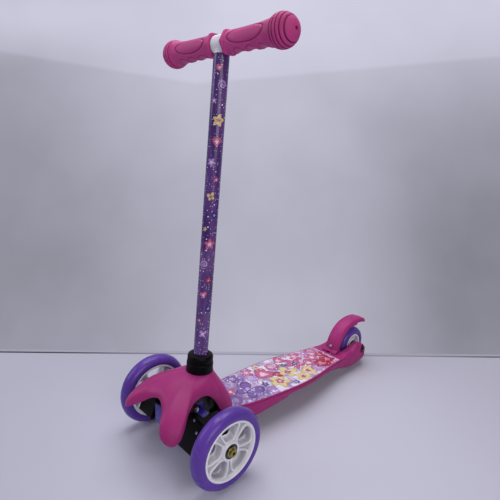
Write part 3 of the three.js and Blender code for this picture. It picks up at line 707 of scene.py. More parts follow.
class Effects:
    """The node groups that several finishes share."""

    def __init__(self) -> None:
        """Builds each group once."""
        self.grain = self._grain()
        self.wear = self._wear()
        self.inks = Inks()

    @staticmethod
    def _grain() -> bpy.types.NodeTree:
        """Moulded grain: a fine pebble with slow waves, as a height and a mottling mask.

        Returns:
            The group's tree.
        """
        inputs = {"Place": None, "Fineness": 2600.0, "Waves": 22.0}
        wiring, start, end = new_group("moulded_grain", inputs, "Height", "Mottle")
        pebble = wiring.noise(start["Place"], start["Fineness"], 1.0)
        waves = wiring.noise(start["Place"], start["Waves"], 3.0)
        wiring.fill(end, {"Height": wiring.maths("MULTIPLY_ADD", waves, 0.6, pebble), "Mottle": waves})
        return wiring.tree

    @staticmethod
    def _wear() -> bpy.types.NodeTree:
        """Handling marks: sparse fine scratches and soft scuffs, as one mask.

        Returns:
            The group's tree.
        """
        wiring, start, end = new_group("handling_wear", {"Place": None, "Amount": 0.5}, "Mask")
        stretch = wiring.node("Mapping", {
            "Vector": start["Place"], "Rotation": (0.4, 0.9, 0.6), "Scale": (1.0, 14.0, 1.0)})
        lines = wiring.scale(wiring.noise(stretch.outputs[0], 90.0, 3.0), 0.66, 0.74)
        where = wiring.scale(wiring.noise(start["Place"], 35.0), 0.5, 0.7)
        mask = wiring.maths("MULTIPLY", lines, where)
        wiring.fill(end, {"Mask": wiring.maths("MULTIPLY", mask, start["Amount"])})
        return wiring.tree


@dataclass(frozen=True)
class Finish:
    """A moulded or plated surface with grain, mottling and light handling marks."""

    name: str
    slot: str
    color: str
    shade: str
    roughness: float = 0.42
    metallic: float = 0.0
    grain: float = 0.25
    fineness: float = 2600.0
    worn: str = "d9a9c4"
    wear: float = 0.25
    specular: float = 0.5
    scatter: float = 0.0

    def ground(self, wiring: Wiring, place: Socket, effects: Effects) -> Socket:
        """The surface's own colour before handling marks.

        Args:
            wiring: The material's wiring.
            place: The place socket.
            effects: The shared groups.

        Returns:
            The colour socket.
        """
        clouds = wiring.scale(wiring.noise(place, 16.0, 3.0), 0.3, 0.7)
        return wiring.mix(clouds, linear(self.shade), linear(self.color))

    def build(self, effects: Effects) -> Material:
        """Makes the material.

        Args:
            effects: The shared groups.

        Returns:
            The material.
        """
        material, wiring, shader = new_material(self.name)
        place = wiring.place()
        grain = wiring.node("Group", {}, node_tree=effects.grain)
        wiring.fill(grain, {"Place": place, "Fineness": self.fineness})
        marks = wiring.node("Group", {}, node_tree=effects.wear)
        wiring.fill(marks, {"Place": place, "Amount": self.wear})
        mask = marks.outputs["Mask"]
        low, high = max(self.roughness - 0.06, 0.03), min(self.roughness + 0.08, 1.0)
        rough = wiring.scale(grain.outputs["Mottle"], 0.3, 0.7, low, high)
        relief = wiring.node("Bump", {
            "Strength": self.grain, "Distance": 0.2 * MM, "Height": grain.outputs["Height"]})
        wiring.fill(shader, {
            "Base Color": wiring.mix(mask, self.ground(wiring, place, effects), linear(self.worn)),
            "Metallic": self.metallic, "Specular IOR Level": self.specular,
            "Roughness": wiring.maths("ADD", rough, wiring.maths("MULTIPLY", mask, 0.3)),
            "Normal": relief.outputs["Normal"]})
        if self.scatter > 0.0:
            wiring.fill(shader, {"Subsurface Weight": self.scatter, "Subsurface Scale": 4.0 * MM})
        return material


class Palette:
    """Every finish on the scooter, built when it is first used."""

    def __init__(self, layout: Layout) -> None:
        """Builds the shared effects and places the two prints.

        Args:
            layout: Where things are on the scooter.
        """
        self.effects = Effects()
        self.made: dict[str, Material] = {}
        self.deck_print = PrintedSheet(
            "deck_print", "printed_sheet", "efe6f6", "bfa3d8", roughness=0.36, grain=0.2, worn="cfc4dc",
            wear=0.25, specular=0.3, nose=layout.axle_y)
        self.stem_film = StemFilm(
            "stem_film", "purple_tube", "8566b6", "6a4a9f", roughness=0.16, grain=0.05, worn="a08cb8",
            wear=0.15, specular=0.45, front=layout.axle_y + layout.stem_foot * MM, rake=layout.stem_rake)
        # The beam is painted black above a height and towards its rear, as shade under the shell and the deck.
        self.beam_plastic = TwoTone(
            "two_shot_moulding", "blue_plastic", "3a24ac", "301d98", roughness=0.3, grain=0.2, worn="7d76c8",
            wear=0.2, specular=0.3, back=layout.axle_y + 13.0 * MM)
        bar = layout.on_stem(0.0, 0.0, layout.bar_station)
        self.grip_rubber = GripRubber(
            "pink_grip_rubber", "pink_rubber", "cc4a92", "c04287", roughness=0.48, grain=0.5, fineness=1800.0,
            wear=0.12, specular=0.22, bar_y=bar.y, bar_z=bar.z)

    def dress(self, piece: Piece, finish: Finish, body: str, nodes: Sequence[str] = ()) -> None:
        """Gives a new piece its finish, its body and the nodes that it stands for.

        Args:
            piece: The piece.
            finish: Its finish.
            body: The frame body it moves with.
            nodes: Frame nodes that it replaces.
        """
        self.coat(piece, finish)
        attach(piece, body)
        if nodes:
            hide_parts(*nodes)
        log.info("%s rides on %s", piece.name, body)

    def redress(self, finish: Finish, *nodes: str) -> None:
        """Gives frame nodes that stay a better finish.

        Args:
            finish: The finish.
            nodes: The nodes' names.
        """
        for node in nodes:
            self.coat(bpy.data.objects[node], finish)
            log.info("%s keeps its shape", node)

    def coat(self, piece: Piece, finish: Finish) -> None:
        """Gives an object a finish, whose material is made once.

        Args:
            piece: The object.
            finish: The finish.
        """
        if finish.name not in self.made:
            self.made[finish.name] = finish.build(self.effects)
        piece.data.materials.clear()
        piece.data.materials.append(self.made[finish.name])


PINK_PLASTIC = Finish("pink_moulding", "pink_plastic", "a8307a", "9c2b70", roughness=0.42, grain=0.3, specular=0.22)
PURPLE_TYRE = Finish(
    "purple_tyre", "purple_tyre", "6440a8", "5a399b", roughness=0.24, grain=0.12, worn="9c7fd0", wear=0.3,
    scatter=0.08, specular=0.3)
WHITE_PLASTIC = Finish(
    "white_moulding", "white_plastic", "f0f0f8", "e4e4ee", roughness=0.34, grain=0.15, worn="b9b7c2", wear=0.2)
BLACK_PLASTIC = Finish(
    "black_moulding", "black_plastic", "040407", "020204", roughness=0.36, grain=0.4, worn="22212a", wear=0.08,
    specular=0.12)
# Near-black steel for the rear axle bolt, as painted shade in the arm's recess.
RECESS_SHADE_STEEL = Finish(
    "blackened_steel", "dark_steel", "141418", "0e0e11", roughness=0.32, metallic=0.6, grain=0.2, worn="55565b",
    wear=0.2)
STEEL = Finish(
    "zinc_plate", "steel", "c3c5ca", "a9acb2", roughness=0.28, metallic=1.0, grain=0.15, worn="8f9094", wear=0.4)
DARK_STEEL = Finish(
    "dark_steel", "dark_steel", "6b6c72", "55565b", roughness=0.38, metallic=1.0, grain=0.2, worn="9a9ba0", wear=0.4)
BRASS = Finish(
    "yellow_zinc", "brass", "bcae74", "a09358", roughness=0.3, metallic=1.0, grain=0.15, worn="8a7a52", wear=0.4)
BLACK_RUBBER = Finish(
    "black_rubber", "black_rubber", "26262a", "1d1d20", roughness=0.7, grain=0.5, worn="55555a", wear=0.2)


@dataclass(frozen=True)
class TwoTone(Finish):
    """A moulding painted black above a height and behind a place, as painted shade where it lies in the dark under
    the shell and the deck.
    """

    # The black painted as shade.
    upper: str = "050508"
    height: float = 90.5
    back: float = 0.0

    def ground(self, wiring: Wiring, place: Socket, effects: Effects) -> Socket:
        """The main colour with the black of the painted shade over it.

        Args and Returns are those of Finish.ground.
        """
        _, y, z = wiring.split(place)
        above = wiring.maths("GREATER_THAN", z, self.height * MM)
        cap = wiring.maths("MAXIMUM", above, wiring.maths("GREATER_THAN", y, self.back))
        return wiring.mix(cap, super().ground(wiring, place, effects), linear(self.upper))


# The beam's blue made darker, as painted shade on the thrust plates under the shell.
BLUE_PLATE = Finish("blue_plate", "blue_plastic", "241880", "1b1266", roughness=0.3, grain=0.2, specular=0.3)


@dataclass(frozen=True)
class RimPlastic(Finish):
    """White plastic with painted shade darkening the recesses of a spoked rim."""

    middle: float = 0.0
    shallow: float = 7.0
    # The grey of the painted shade in the recesses.
    dust: str = "8f8c9c"

    def ground(self, wiring: Wiring, place: Socket, effects: Effects) -> Socket:
        """White on the ribs, greyer towards the rim's middle plane, as painted shade in the recesses.

        Args and Returns are those of Finish.ground.
        """
        out = wiring.maths("SUBTRACT", wiring.maths("ABSOLUTE", wiring.split(place)[0]), self.middle * MM)
        depth = wiring.maths("ABSOLUTE", out)
        # Painted shade: places deeper below the rib tops turn greyer.
        dust = wiring.scale(depth, 0.25 * self.shallow * MM, self.shallow * MM, 0.55, 0.0)
        return wiring.mix(dust, super().ground(wiring, place, effects), linear(self.dust))


FRONT_RIM = RimPlastic(
    "white_front_rim", "white_plastic", "f6f6fc", "eeeef6", roughness=0.3, grain=0.12, worn="c9c7d2", wear=0.15,
    middle=98.3, shallow=7.4)
REAR_RIM = RimPlastic(
    "white_rear_rim", "white_plastic", "f0f0f8", "e4e4ee", roughness=0.34, grain=0.15, worn="b9b7c2", wear=0.2,
    middle=0.0, shallow=7.0)


@dataclass(frozen=True)
class GripRubber(Finish):
    """Pink rubber with painted shade in the ball's grooves and round the pads."""

    bar_y: float = 0.0
    bar_z: float = 0.6
    first_groove: float = 105.6
    groove_pitch: float = 4.8
    pad_middle: float = 58.0
    pad_half: float = 33.0
    pad_angle: float = math.radians(14.0)
    pad_spread: float = math.radians(42.0)
    # The colour of the painted shade in the grooves and round the pads.
    grime: str = "7c1c50"

    def ground(self, wiring: Wiring, place: Socket, effects: Effects) -> Socket:
        """The rubber's colour, darker in every groove as painted shade.

        Args and Returns are those of Finish.ground.
        """
        m = wiring.maths
        half = self.groove_pitch / 2.0
        x, y, z = wiring.split(place)
        x = m("MULTIPLY", m("ABSOLUTE", x), 1.0 / MM)
        past = m("SUBTRACT", x, self.first_groove - half)
        beside = m("ABSOLUTE", m("SUBTRACT", m("PINGPONG", past, half), half))
        on_ball = m("MULTIPLY", m("GREATER_THAN", past, 0.0), m("LESS_THAN", past, 10.0 * half))
        grooves = m("MULTIPLY", wiring.scale(beside, 0.45, 1.0, 1.0, 0.0), on_ball)
        angle = m("ARCTAN2", m("SUBTRACT", z, self.bar_z), m("SUBTRACT", self.bar_y, y))
        along = m("DIVIDE", m("SUBTRACT", x, self.pad_middle), self.pad_half)
        around = m("DIVIDE", m("SUBTRACT", angle, self.pad_angle), self.pad_spread)
        ring = m("SQRT", m("ADD", m("MULTIPLY", along, along), m("MULTIPLY", around, around)))
        edge = wiring.scale(m("ABSOLUTE", m("SUBTRACT", ring, 1.0)), 0.02, 0.07, 0.8, 0.0)
        return wiring.mix(m("MAXIMUM", grooves, edge), super().ground(wiring, place, effects), linear(self.grime))


class Shape(Enum):
    """The printed motifs."""

    HEART = "heart"
    BLOSSOM = "blossom"
    STAR = "star"
    BUTTERFLY = "butterfly"
    SWIRL = "swirl"
    BUBBLE = "bubble"


@dataclass(frozen=True)
class Motif:
    """One printed motif: where it is, in the print's millimetres, and its three inks."""

    shape: Shape
    x: float
    y: float
    size: float
    turn: float
    line: str
    fill: str
    middle: str


class Inks:
    """The node groups that draw motifs."""

    def __init__(self) -> None:
        """Builds one group for each motif's shape."""
        self.groups = {shape: self._group(shape) for shape in Shape}

    def _group(self, shape: Shape) -> bpy.types.NodeTree:
        """One motif as three masks: all of it, inside its outline, and its middle.

        Args:
            shape: Which motif.

        Returns:
            The group's tree.
        """
        inputs = {"Place": None, "Spot": None, "Size": 10.0, "Turn": 0.0}
        wiring, start, end = new_group(f"motif_{shape.value}", inputs, "Whole", "Inside", "Middle")
        m = wiring.maths
        offset = wiring.vector("SUBTRACT", start["Place"], start["Spot"]).outputs[0]
        turn = wiring.node("VectorRotate", {"Vector": offset, "Angle": start["Turn"]}, rotation_type="Z_AXIS")
        x, y = (m("DIVIDE", part, start["Size"]) for part in wiring.split(turn.outputs[0])[:2])
        radius = m("SQRT", m("ADD", m("MULTIPLY", x, x), m("MULTIPLY", y, y)))
        reach = self._reach(m, shape, x, y, radius, m("ARCTAN2", x, y))
        for mask, low, high in (("Whole", 0.97, 1.03), ("Inside", 0.86, 0.93), ("Middle", 0.34, 0.42)):
            wiring.fill(end, {mask: wiring.scale(reach, low, high, 1.0, 0.0)})
        return wiring.tree

    @staticmethod
    def _reach(m: Callable[..., Socket], shape: Shape, x: Socket, y: Socket, radius: Socket, angle: Socket) -> Socket:
        """How far out a place is in a motif, with 1 on its edge.

        Args:
            m: Adds a math node to the group.
            shape: Which motif.
            x: Across, over the motif's size.
            y: Up, over the motif's size.
            radius: From its middle, over its size.
            angle: Round its middle, from its top.

        Returns:
            The reach socket.
        """
        if shape is Shape.HEART:
            dip = m("MULTIPLY", m("SQRT", m("ABSOLUTE", x)), 0.72)
            tall = m("SUBTRACT", m("MULTIPLY", m("ADD", y, 0.28), 1.15), dip)
            return m("SQRT", m("ADD", m("MULTIPLY", x, x), m("MULTIPLY", tall, tall)))
        if shape is Shape.BLOSSOM:
            petals = m("COSINE", m("MULTIPLY", angle, 5.0))
            return m("DIVIDE", radius, m("MULTIPLY_ADD", petals, 0.2, 0.8))
        if shape is Shape.STAR:
            fold = m("PINGPONG", angle, math.pi / 5)
            tip = m("MULTIPLY", m("COSINE", fold), radius)
            side = m("MULTIPLY", m("SINE", fold), radius)
            return m("DIVIDE", m("MULTIPLY_ADD", side, 0.62, m("MULTIPLY", tip, 0.3)), 0.3)
        if shape is Shape.BUTTERFLY:
            wings = m("POWER", m("ABSOLUTE", m("SINE", m("MULTIPLY", angle, 2.0))), 0.55)
            upper = m("MULTIPLY_ADD", m("COSINE", angle), 0.16, 0.8)
            return m("DIVIDE", radius, m("MAXIMUM", m("MULTIPLY", wings, upper), 0.12))
        if shape is Shape.SWIRL:
            growth = m("MULTIPLY", m("LOGARITHM", m("MAXIMUM", radius, 0.02), 2.718), 0.9)
            coils = m("ADD", m("DIVIDE", angle, TAU), growth)
            band = m("MULTIPLY", m("ABSOLUTE", m("SUBTRACT", m("FRACT", coils), 0.5)), 3.4)
            return m("MAXIMUM", band, radius)
        return m("DIVIDE", m("ABSOLUTE", m("SUBTRACT", radius, 0.8)), 0.2)

    def paint(self, wiring: Wiring, color: Socket, place: Socket, motif: Motif) -> Socket:
        """Prints one motif over a ground.

        Args:
            wiring: The material's wiring.
            color: The colour under the motif.
            place: The print's place socket.
            motif: The motif.

        Returns:
            The printed colour.
        """
        group = wiring.node("Group", {}, node_tree=self.groups[motif.shape])
        wiring.fill(group, {
            "Place": place, "Spot": (motif.x, motif.y, 0.0), "Size": motif.size, "Turn": math.radians(motif.turn)})
        for mask, ink in (("Whole", motif.line), ("Inside", motif.fill), ("Middle", motif.middle)):
            color = wiring.mix(group.outputs[mask], color, linear(ink))
        return color


def sparkle(wiring: Wiring, place: Socket, pitch: float, size: float, share: float) -> Socket:
    """Scattered round dots of different sizes, as a mask.

    Args:
        wiring: The material's wiring.
        place: The print's place socket, in millimetres.
        pitch: How far apart the dots are.
        size: The largest dot's radius over the pitch.
        share: How many of the places hold a dot.

    Returns:
        The mask socket.
    """
    cells = wiring.node("TexVoronoi", {"Vector": place, "Scale": 1.0 / pitch}, voronoi_dimensions="2D").outputs
    parts = wiring.node("SeparateColor", {0: cells["Color"]}).outputs
    inside = wiring.maths("SUBTRACT", wiring.maths("MULTIPLY", parts[0], size), cells["Distance"])
    return wiring.maths("MULTIPLY", wiring.scale(inside, -0.01, 0.03), wiring.maths("LESS_THAN", parts[1], share))


PURPLE = ("4a2f78", "7f5ea6", "c4a8da")
LILAC = ("8a60b6", "b48fd2", "ead9f5")
PINK = ("8e2a62", "c2618f", "e8c6d6")
RED = ("7f1538", "a62b50", "d67c98")
YELLOW = ("b89c58", "dccc92", "bf4f86")
NIGHT = ("1d1b52", "332f80", "a3a0e2")


@dataclass(frozen=True)
class PrintedSheet(Finish):
    """The deck's glossy printed sheet: pale clouds with flowers, hearts, stars and butterflies."""

    nose: float = 0.0

    def motifs(self) -> list[Motif]:
        """The motifs, from the front of the sheet to its rear.

        Returns:
            Each motif with its place, size and turn.
        """
        heart, blossom, star, butterfly, swirl, bubble = Shape
        rows = [
            (swirl, 24, 80, 17, 20, PURPLE), (blossom, -24, 88, 18, 10, LILAC), (star, 38, 100, 9, 12, LILAC),
            (heart, -2, 92, 9, 15, PINK), (butterfly, 14, 120, 33, -24, PURPLE), (blossom, -34, 122, 15, 40, PURPLE),
            (star, 16, 119, 8, 30, NIGHT), (bubble, 41, 138, 7, 0, NIGHT), (heart, 40, 156, 9, -8, LILAC),
            (swirl, -14, 152, 16, 60, LILAC), (butterfly, -36, 158, 17, 25, PINK), (star, 14, 160, 9, -14, NIGHT),
            (heart, -14, 182, 20, -20, PINK), (blossom, 22, 190, 22, 32, YELLOW), (heart, 2, 204, 10, 24, RED),
            (star, -40, 188, 10, -8, YELLOW), (blossom, 22, 190, 9, 12, PINK), (butterfly, 8, 226, 26, -38, YELLOW),
            (star, 42, 214, 8, 14, NIGHT), (swirl, -28, 216, 16, 200, PINK), (blossom, 36, 240, 17, 22, YELLOW),
            (star, -16, 240, 8, 0, NIGHT), (heart, -36, 246, 13, -12, PINK), (blossom, -8, 264, 22, 44, PINK),
            (star, -8, 264, 10, 20, NIGHT), (heart, 26, 266, 15, 12, YELLOW), (butterfly, -30, 286, 20, 30, PINK),
            (swirl, 30, 290, 13, 110, LILAC), (heart, 6, 292, 14, -8, PINK), (heart, 22, 314, 19, -16, RED),
            (blossom, -6, 316, 16, 0, PINK), (star, -28, 314, 9, 20, LILAC), (blossom, 18, 338, 18, 24, RED),
            (heart, -6, 342, 12, 18, RED), (swirl, -26, 338, 13, 60, PINK), (star, 33, 334, 7, 10, PINK)]
        return [Motif(shape, x, y, size, turn, *inks) for shape, x, y, size, turn, inks in rows]

    def strands(self, wiring: Wiring, color: Socket, sheet: Socket, along: Socket) -> Socket:
        """Flowing brush strands, purple at the front and pink at the rear.

        Args:
            wiring: The material's wiring.
            color: The colour under the strands.
            sheet: The print's place socket, in millimetres.
            along: The place along the deck.

        Returns:
            The colour socket.
        """
        waves = wiring.node("TexWave", {
            "Vector": sheet, "Scale": 0.05, "Distortion": 9.0, "Detail": 2.0, "Detail Scale": 0.6,
        }, wave_type="BANDS", bands_direction="DIAGONAL")
        lines = wiring.scale(waves.outputs["Fac"], 0.62, 0.74)
        lines = wiring.maths("MULTIPLY", lines, wiring.scale(wiring.noise(sheet, 0.03), 0.46, 0.56))
        for start, end, most, ink in ((176.0, 150.0, 0.75, "6d4599"), (236.0, 262.0, 0.7, "b9558f")):
            share = wiring.maths("MULTIPLY", lines, wiring.scale(along, start, end, 0.0, most))
            color = wiring.mix(share, color, linear(ink))
        return color

    def ground(self, wiring: Wiring, place: Socket, effects: Effects) -> Socket:
        """The print: tinted clouds and strands under the motifs and white sparkles.

        Args and Returns are those of Finish.ground.
        """
        from_nose = wiring.vector("SUBTRACT", place, (0.0, self.nose, 0.0)).outputs[0]
        scaled = wiring.vector("SCALE", from_nose)
        wiring.fill(scaled, {"Scale": 1.0 / MM})
        sheet = wiring.vector("MULTIPLY", scaled.outputs[0], (1.0, 1.0, 0.0)).outputs[0]
        along = wiring.split(sheet)[1]
        clouds = wiring.scale(wiring.noise(sheet, 0.024, 3.0), 0.42, 0.6)
        color = wiring.mix(clouds, linear("a488bc"), linear("d6c6e2"))
        wisps = wiring.scale(wiring.noise(sheet, 0.05, 4.0), 0.48, 0.58, 0.0, 0.9)
        color = wiring.mix(wisps, color, linear("efe6f4"))
        for start, end, tint in ((184.0, 96.0, "7d5c9a"), (240.0, 330.0, "cf9abc")):
            color = wiring.mix(wiring.scale(along, start, end, 0.0, 0.6), color, linear(tint))
        color = self.strands(wiring, color, sheet, along)
        for motif in self.motifs():
            color = effects.inks.paint(wiring, color, sheet, motif)
        return wiring.mix(sparkle(wiring, sheet, 7.0, 0.22, 0.4), color, linear("ffffff"))


@dataclass(frozen=True)
class StemFilm(Finish):
    """The stem's printed film: purple with paler streaks painted as reflections, white sparkles and small motifs."""

    front: float = 0.0
    rake: float = 0.0
    radius: float = 11.1

    def motifs(self) -> list[Motif]:
        """The motifs up the stem, across from its left side.

        Returns:
            Each motif with its place, size and turn.
        """
        heart, blossom, star, butterfly, swirl, _ = Shape
        rows = [
            (butterfly, 11, 192, 8.5, 10, LILAC), (star, 4, 214, 4.0, 0, PINK), (blossom, 17, 232, 6.0, 20, NIGHT),
            (heart, 8, 254, 5.5, -12, PINK), (star, 14, 276, 6.5, 14, RED), (swirl, 6, 300, 7.0, 40, LILAC),
            (blossom, 12, 330, 9.0, 0, PINK), (star, 3, 352, 4.0, 22, YELLOW), (heart, 16, 372, 5.0, 16, NIGHT),
            (butterfly, 9, 398, 8.0, -18, YELLOW), (star, 15, 422, 5.0, 8, PINK), (blossom, 6, 446, 6.5, 30, LILAC),
            (heart, 12, 474, 7.0, 0, PINK), (blossom, 12, 502, 9.0, 12, YELLOW), (star, 4, 528, 4.5, -6, LILAC),
            (swirl, 14, 548, 6.5, 90, LILAC), (heart, 8, 570, 5.0, -10, PINK)]
        motifs = [Motif(shape, x, y, size, turn, *inks) for shape, x, y, size, turn, inks in rows]
        back = [Motif(shape, x - 32.0 if x > 8 else x - 24.0, y + 13.0, size, -turn, *inks)
                for shape, x, y, size, turn, inks in rows if y < 570]
        return motifs + back

    def ground(self, wiring: Wiring, place: Socket, effects: Effects) -> Socket:
        """The print, unrolled round the stem as millimetres round and up.

        Args and Returns are those of Finish.ground.
        """
        m = wiring.maths
        x, y, z = wiring.split(place)
        angle = m("ARCTAN2", x, m("SUBTRACT", m("MULTIPLY_ADD", z, math.tan(self.rake), self.front), y))
        film = wiring.flat(m("MULTIPLY", angle, self.radius), m("MULTIPLY", z, 1.0 / MM))
        # Painted reflections: paler streaks that run up the tube.
        stretch = wiring.vector("MULTIPLY", place, (1.0, 1.0, 0.12)).outputs[0]
        reflection_streaks = wiring.scale(wiring.noise(stretch, 130.0, 3.0), 0.4, 0.62)
        color = wiring.mix(reflection_streaks, linear("4b2c72"), linear("644088"))
        glow = wiring.scale(wiring.noise(place, 14.0), 0.5, 0.68, 0.0, 0.7)
        color = wiring.mix(glow, color, linear("6f4c8c"))
        for motif in self.motifs():
            color = effects.inks.paint(wiring, color, film, motif)
        for pitch, size, share in ((3.2, 0.2, 0.4), (8.0, 0.15, 0.4)):
            color = wiring.mix(sparkle(wiring, film, pitch, size, share), color, linear("f4effb"))
        return color


# The sub-assemblies

@dataclass
class Assembly:
    """What every sub-assembly has: the scooter's layout and its finishes."""

    layout: Layout
    palette: Palette

    def finished(self, piece: Piece, finish: Finish, body: str = "frame", angle: float = 38.0) -> None:
        """Shades and dresses a piece that stands for the node it is named after, plus one word.

        Args:
            piece: The piece.
            finish: Its finish.
            body: The frame body it moves with.
            angle: Edges sharper than this many degrees stay crisp.
        """
        smooth(piece, angle)
        self.palette.dress(piece, finish, body, [piece.name.rpartition("_")[0]])

    def side_prism(self, name: str, outline: Sequence[Corner], low: float, high: float, steps: int = 8) -> Piece:
        """A form across the scooter from its side view.

        Args:
            name: The new object's name.
            outline: The side view's corners, each with the reach of its rounding.
            low: Where it starts across the scooter.
            high: Where it ends.
            steps: Points along each rounding.

        Returns:
            The new object.
        """
        corners = [self.layout.at(low, y, z) for y, z in filleted(outline, steps)]
        return prism(name, corners, ACROSS * ((high - low) * MM))


@dataclass
class Wheel(Assembly):
    """One wheel about its axle: tyre, spoked rim, two bearings and a spacer."""

    prefix: str
    body: str
    outward: int
    radius: float = 60.0
    rim_radius: float = 45.2
    width: float = 24.0
    hub_radius: float = 15.0
    hub_half: float = 10.0
    web_half: float = 2.2
    rib_half: float = 7.6
    rib_width: float = 2.4
    spoke_root: float = 0.4
    spoke_tip: float = 5.6
    spokes: int = 5
    centre: Vector = field(init=False)

    def __post_init__(self) -> None:
        """Finds the wheel's centre from its packed tyre."""
        low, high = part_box(f"{self.prefix}_tyre")
        self.centre = (low + high) / 2.0

    @property
    def axis(self) -> Vector:
        """The axle's direction, away from the scooter's middle."""
        return ACROSS * self.outward

    def spun(self, name: str, outline: Sequence[Point], steps: int = 72) -> Piece:
        """A turned form about this wheel's axle."""
        return turned(name, outline, self.centre, self.axis, steps)

    def on_face(self, out: float, y: float, z: float) -> Vector:
        """A point of the wheel: how far outwards, and where in its plane."""
        return self.centre + Vector((self.outward * out, y, z)) * MM

    def build(self) -> None:
        """Makes and dresses every piece of the wheel."""
        self.tyre()
        self.rim()
        self.bearings()
        self.palette.redress(STEEL, f"{self.prefix}_hub_spacer")

    def tyre(self) -> None:
        """The poured tyre: a round crown, soft shoulders and a fine parting line."""
        half = self.width / 2.0
        seat = self.rim_radius + 0.15
        shoulder = 3.6
        crown = self.radius - seat - shoulder
        outline = [(seat, half - 1.2), (seat, 1.2 - half)]
        steps = 30
        for i in range(steps + 1):
            angle = -math.pi / 2 + math.pi * i / steps
            reach = crown * math.cos(angle) ** 0.85 if abs(angle) < math.pi / 2 else 0.0
            height = half * math.sin(angle)
            parting = 0.22 * bump(height, 0.5)
            outline.append((seat + shoulder + reach - 0.25 + parting, height))
        self.finished(self.spun(f"{self.prefix}_tyre_poured", outline, 112), PURPLE_TYRE, self.body)

    def opening(self, middle: float, grow: float) -> list[Point]:
        """The outline of one opening between two flaring spokes.

        Args:
            middle: The angle of the opening's middle.
            grow: How much wider than the opening the outline is.

        Returns:
            Points in the wheel's plane.
        """
        inner = self.hub_radius + self.rib_width - grow
        outer = self.rim_radius - 4.4 + grow

        def corner(radius: float, side: int, reach: float) -> Corner:
            """One corner of the opening, beside a spoke.

            Args:
                radius: Its distance from the axle.
                side: Which spoke, as 1 or -1.
                reach: The reach of its rounding.

            Returns:
                The corner, for an outline to fillet.
            """
            share = (radius - self.hub_radius) / (self.rim_radius - self.hub_radius)
            spoke = self.spoke_root + share * (self.spoke_tip - self.spoke_root)
            angle = math.pi / self.spokes - math.asin((spoke + self.rib_width - grow) / radius)
            turn = middle + side * angle
            return radius * math.cos(turn), radius * math.sin(turn), reach

        crown = 1.04 * outer
        small, large = self.rim_radius / 8.0, self.rim_radius / 3.6
        return filleted([corner(inner, -1, small), corner(outer, -1, large), (
            crown * math.cos(middle), crown * math.sin(middle),
            self.radius), corner(outer, 1, large), corner(inner, 1, small)], 9)

    def flat(self, outline: Sequence[Point], low: float, high: float) -> Piece:
        """A prism in the wheel's plane, between two distances outwards."""
        return prism("flat", [self.on_face(low, y, z) for y, z in outline], self.axis * (high - low) * MM)

    def rib(self, middle: float) -> Piece:
        """The raised wall round one opening, rounded along its tops.

        Args:
            middle: The angle of the opening's middle.

        Returns:
            The wall.
        """
        sides = list(zip(self.opening(middle, -0.1), self.opening(middle, self.rib_width)))
        top = self.rib_half
        half = [(0.0, -top + 0.9), (0.25, -top + 0.2), (0.5, -top), (0.75, -top + 0.35), (1.0, -top + 1.3)]
        rings = [[self.on_face(height, a[0] + share * (b[0] - a[0]), a[1] + share * (b[1] - a[1])) for a, b in sides]
                 for share, height in mirrored(half, (1.12, 0.0))]
        return loft("rib", [*rings, rings[0]])

    def rim(self) -> None:
        """The moulded rim: lipped hoop, waisted hub, web and a ribbed wall round each opening."""
        half = self.width / 2.0 - 1.0
        outside, inside = self.rim_radius, self.rim_radius - 4.0
        hoop = mirrored([
            (outside, half - 0.6), (outside - 0.7, half), (outside - 2.0, half + 0.25), (inside + 0.9, half - 0.1),
            (inside + 0.2, half - 0.9), (inside - 0.3, 3.0)], (inside - 0.9, 0.0))
        body = self.spun(f"{self.prefix}_rim_moulding", hoop, 96)
        bore, seat = 8.5, 11.15
        edge, deep, pocket = self.hub_radius, self.hub_half, self.hub_half - 7.3
        hub = mirrored([(bore, pocket), (seat, pocket), (seat, deep - 0.4), (seat + 0.5, deep), (edge - 1.0, deep),
                        (edge, deep - 1.0), (edge + 0.4, 3.0)], (edge + 0.9, 0.0))
        web = [(inside + 1.5, -self.web_half), (inside + 1.5, self.web_half),
               (edge - 1.5, self.web_half + 0.8), (edge - 1.5, -self.web_half - 0.8)]
        plate = self.spun("web", web, 96)
        middles = [TAU * (i + 0.25) / self.spokes for i in range(self.spokes)]
        combine(plate, Joining.CUT, *(self.flat(self.opening(middle, 0.4), -half, half) for middle in middles))
        ribs = [self.rib(middle) for middle in middles if self.rib_half > 0.0]
        combine(body, Joining.UNITE, self.spun("hub", hub, 64), plate, *ribs)
        self.finished(body, REAR_RIM if self.prefix == "rear" else FRONT_RIM, self.body, 42.0)

    def bearings(self) -> None:
        """Two sealed bearings: races with a dark shield set back between them."""
        for name, side in (("outer", 1), ("inner", -1)):
            middle = side * (self.hub_half - 3.5)
            outline = mirrored([(4.1, -3.5), (5.9, -3.5), (6.2, -3.2), (6.2, -2.9), (9.2, -2.8), (9.2, -3.2),
                                (9.5, -3.5), (10.7, -3.5), (11.0, -3.2)])
            piece = self.spun(
                f"{self.prefix}_bearing_{name}_sealed", [(radius, height + middle) for radius, height in outline], 48)
            self.finished(piece, DARK_STEEL, self.body)


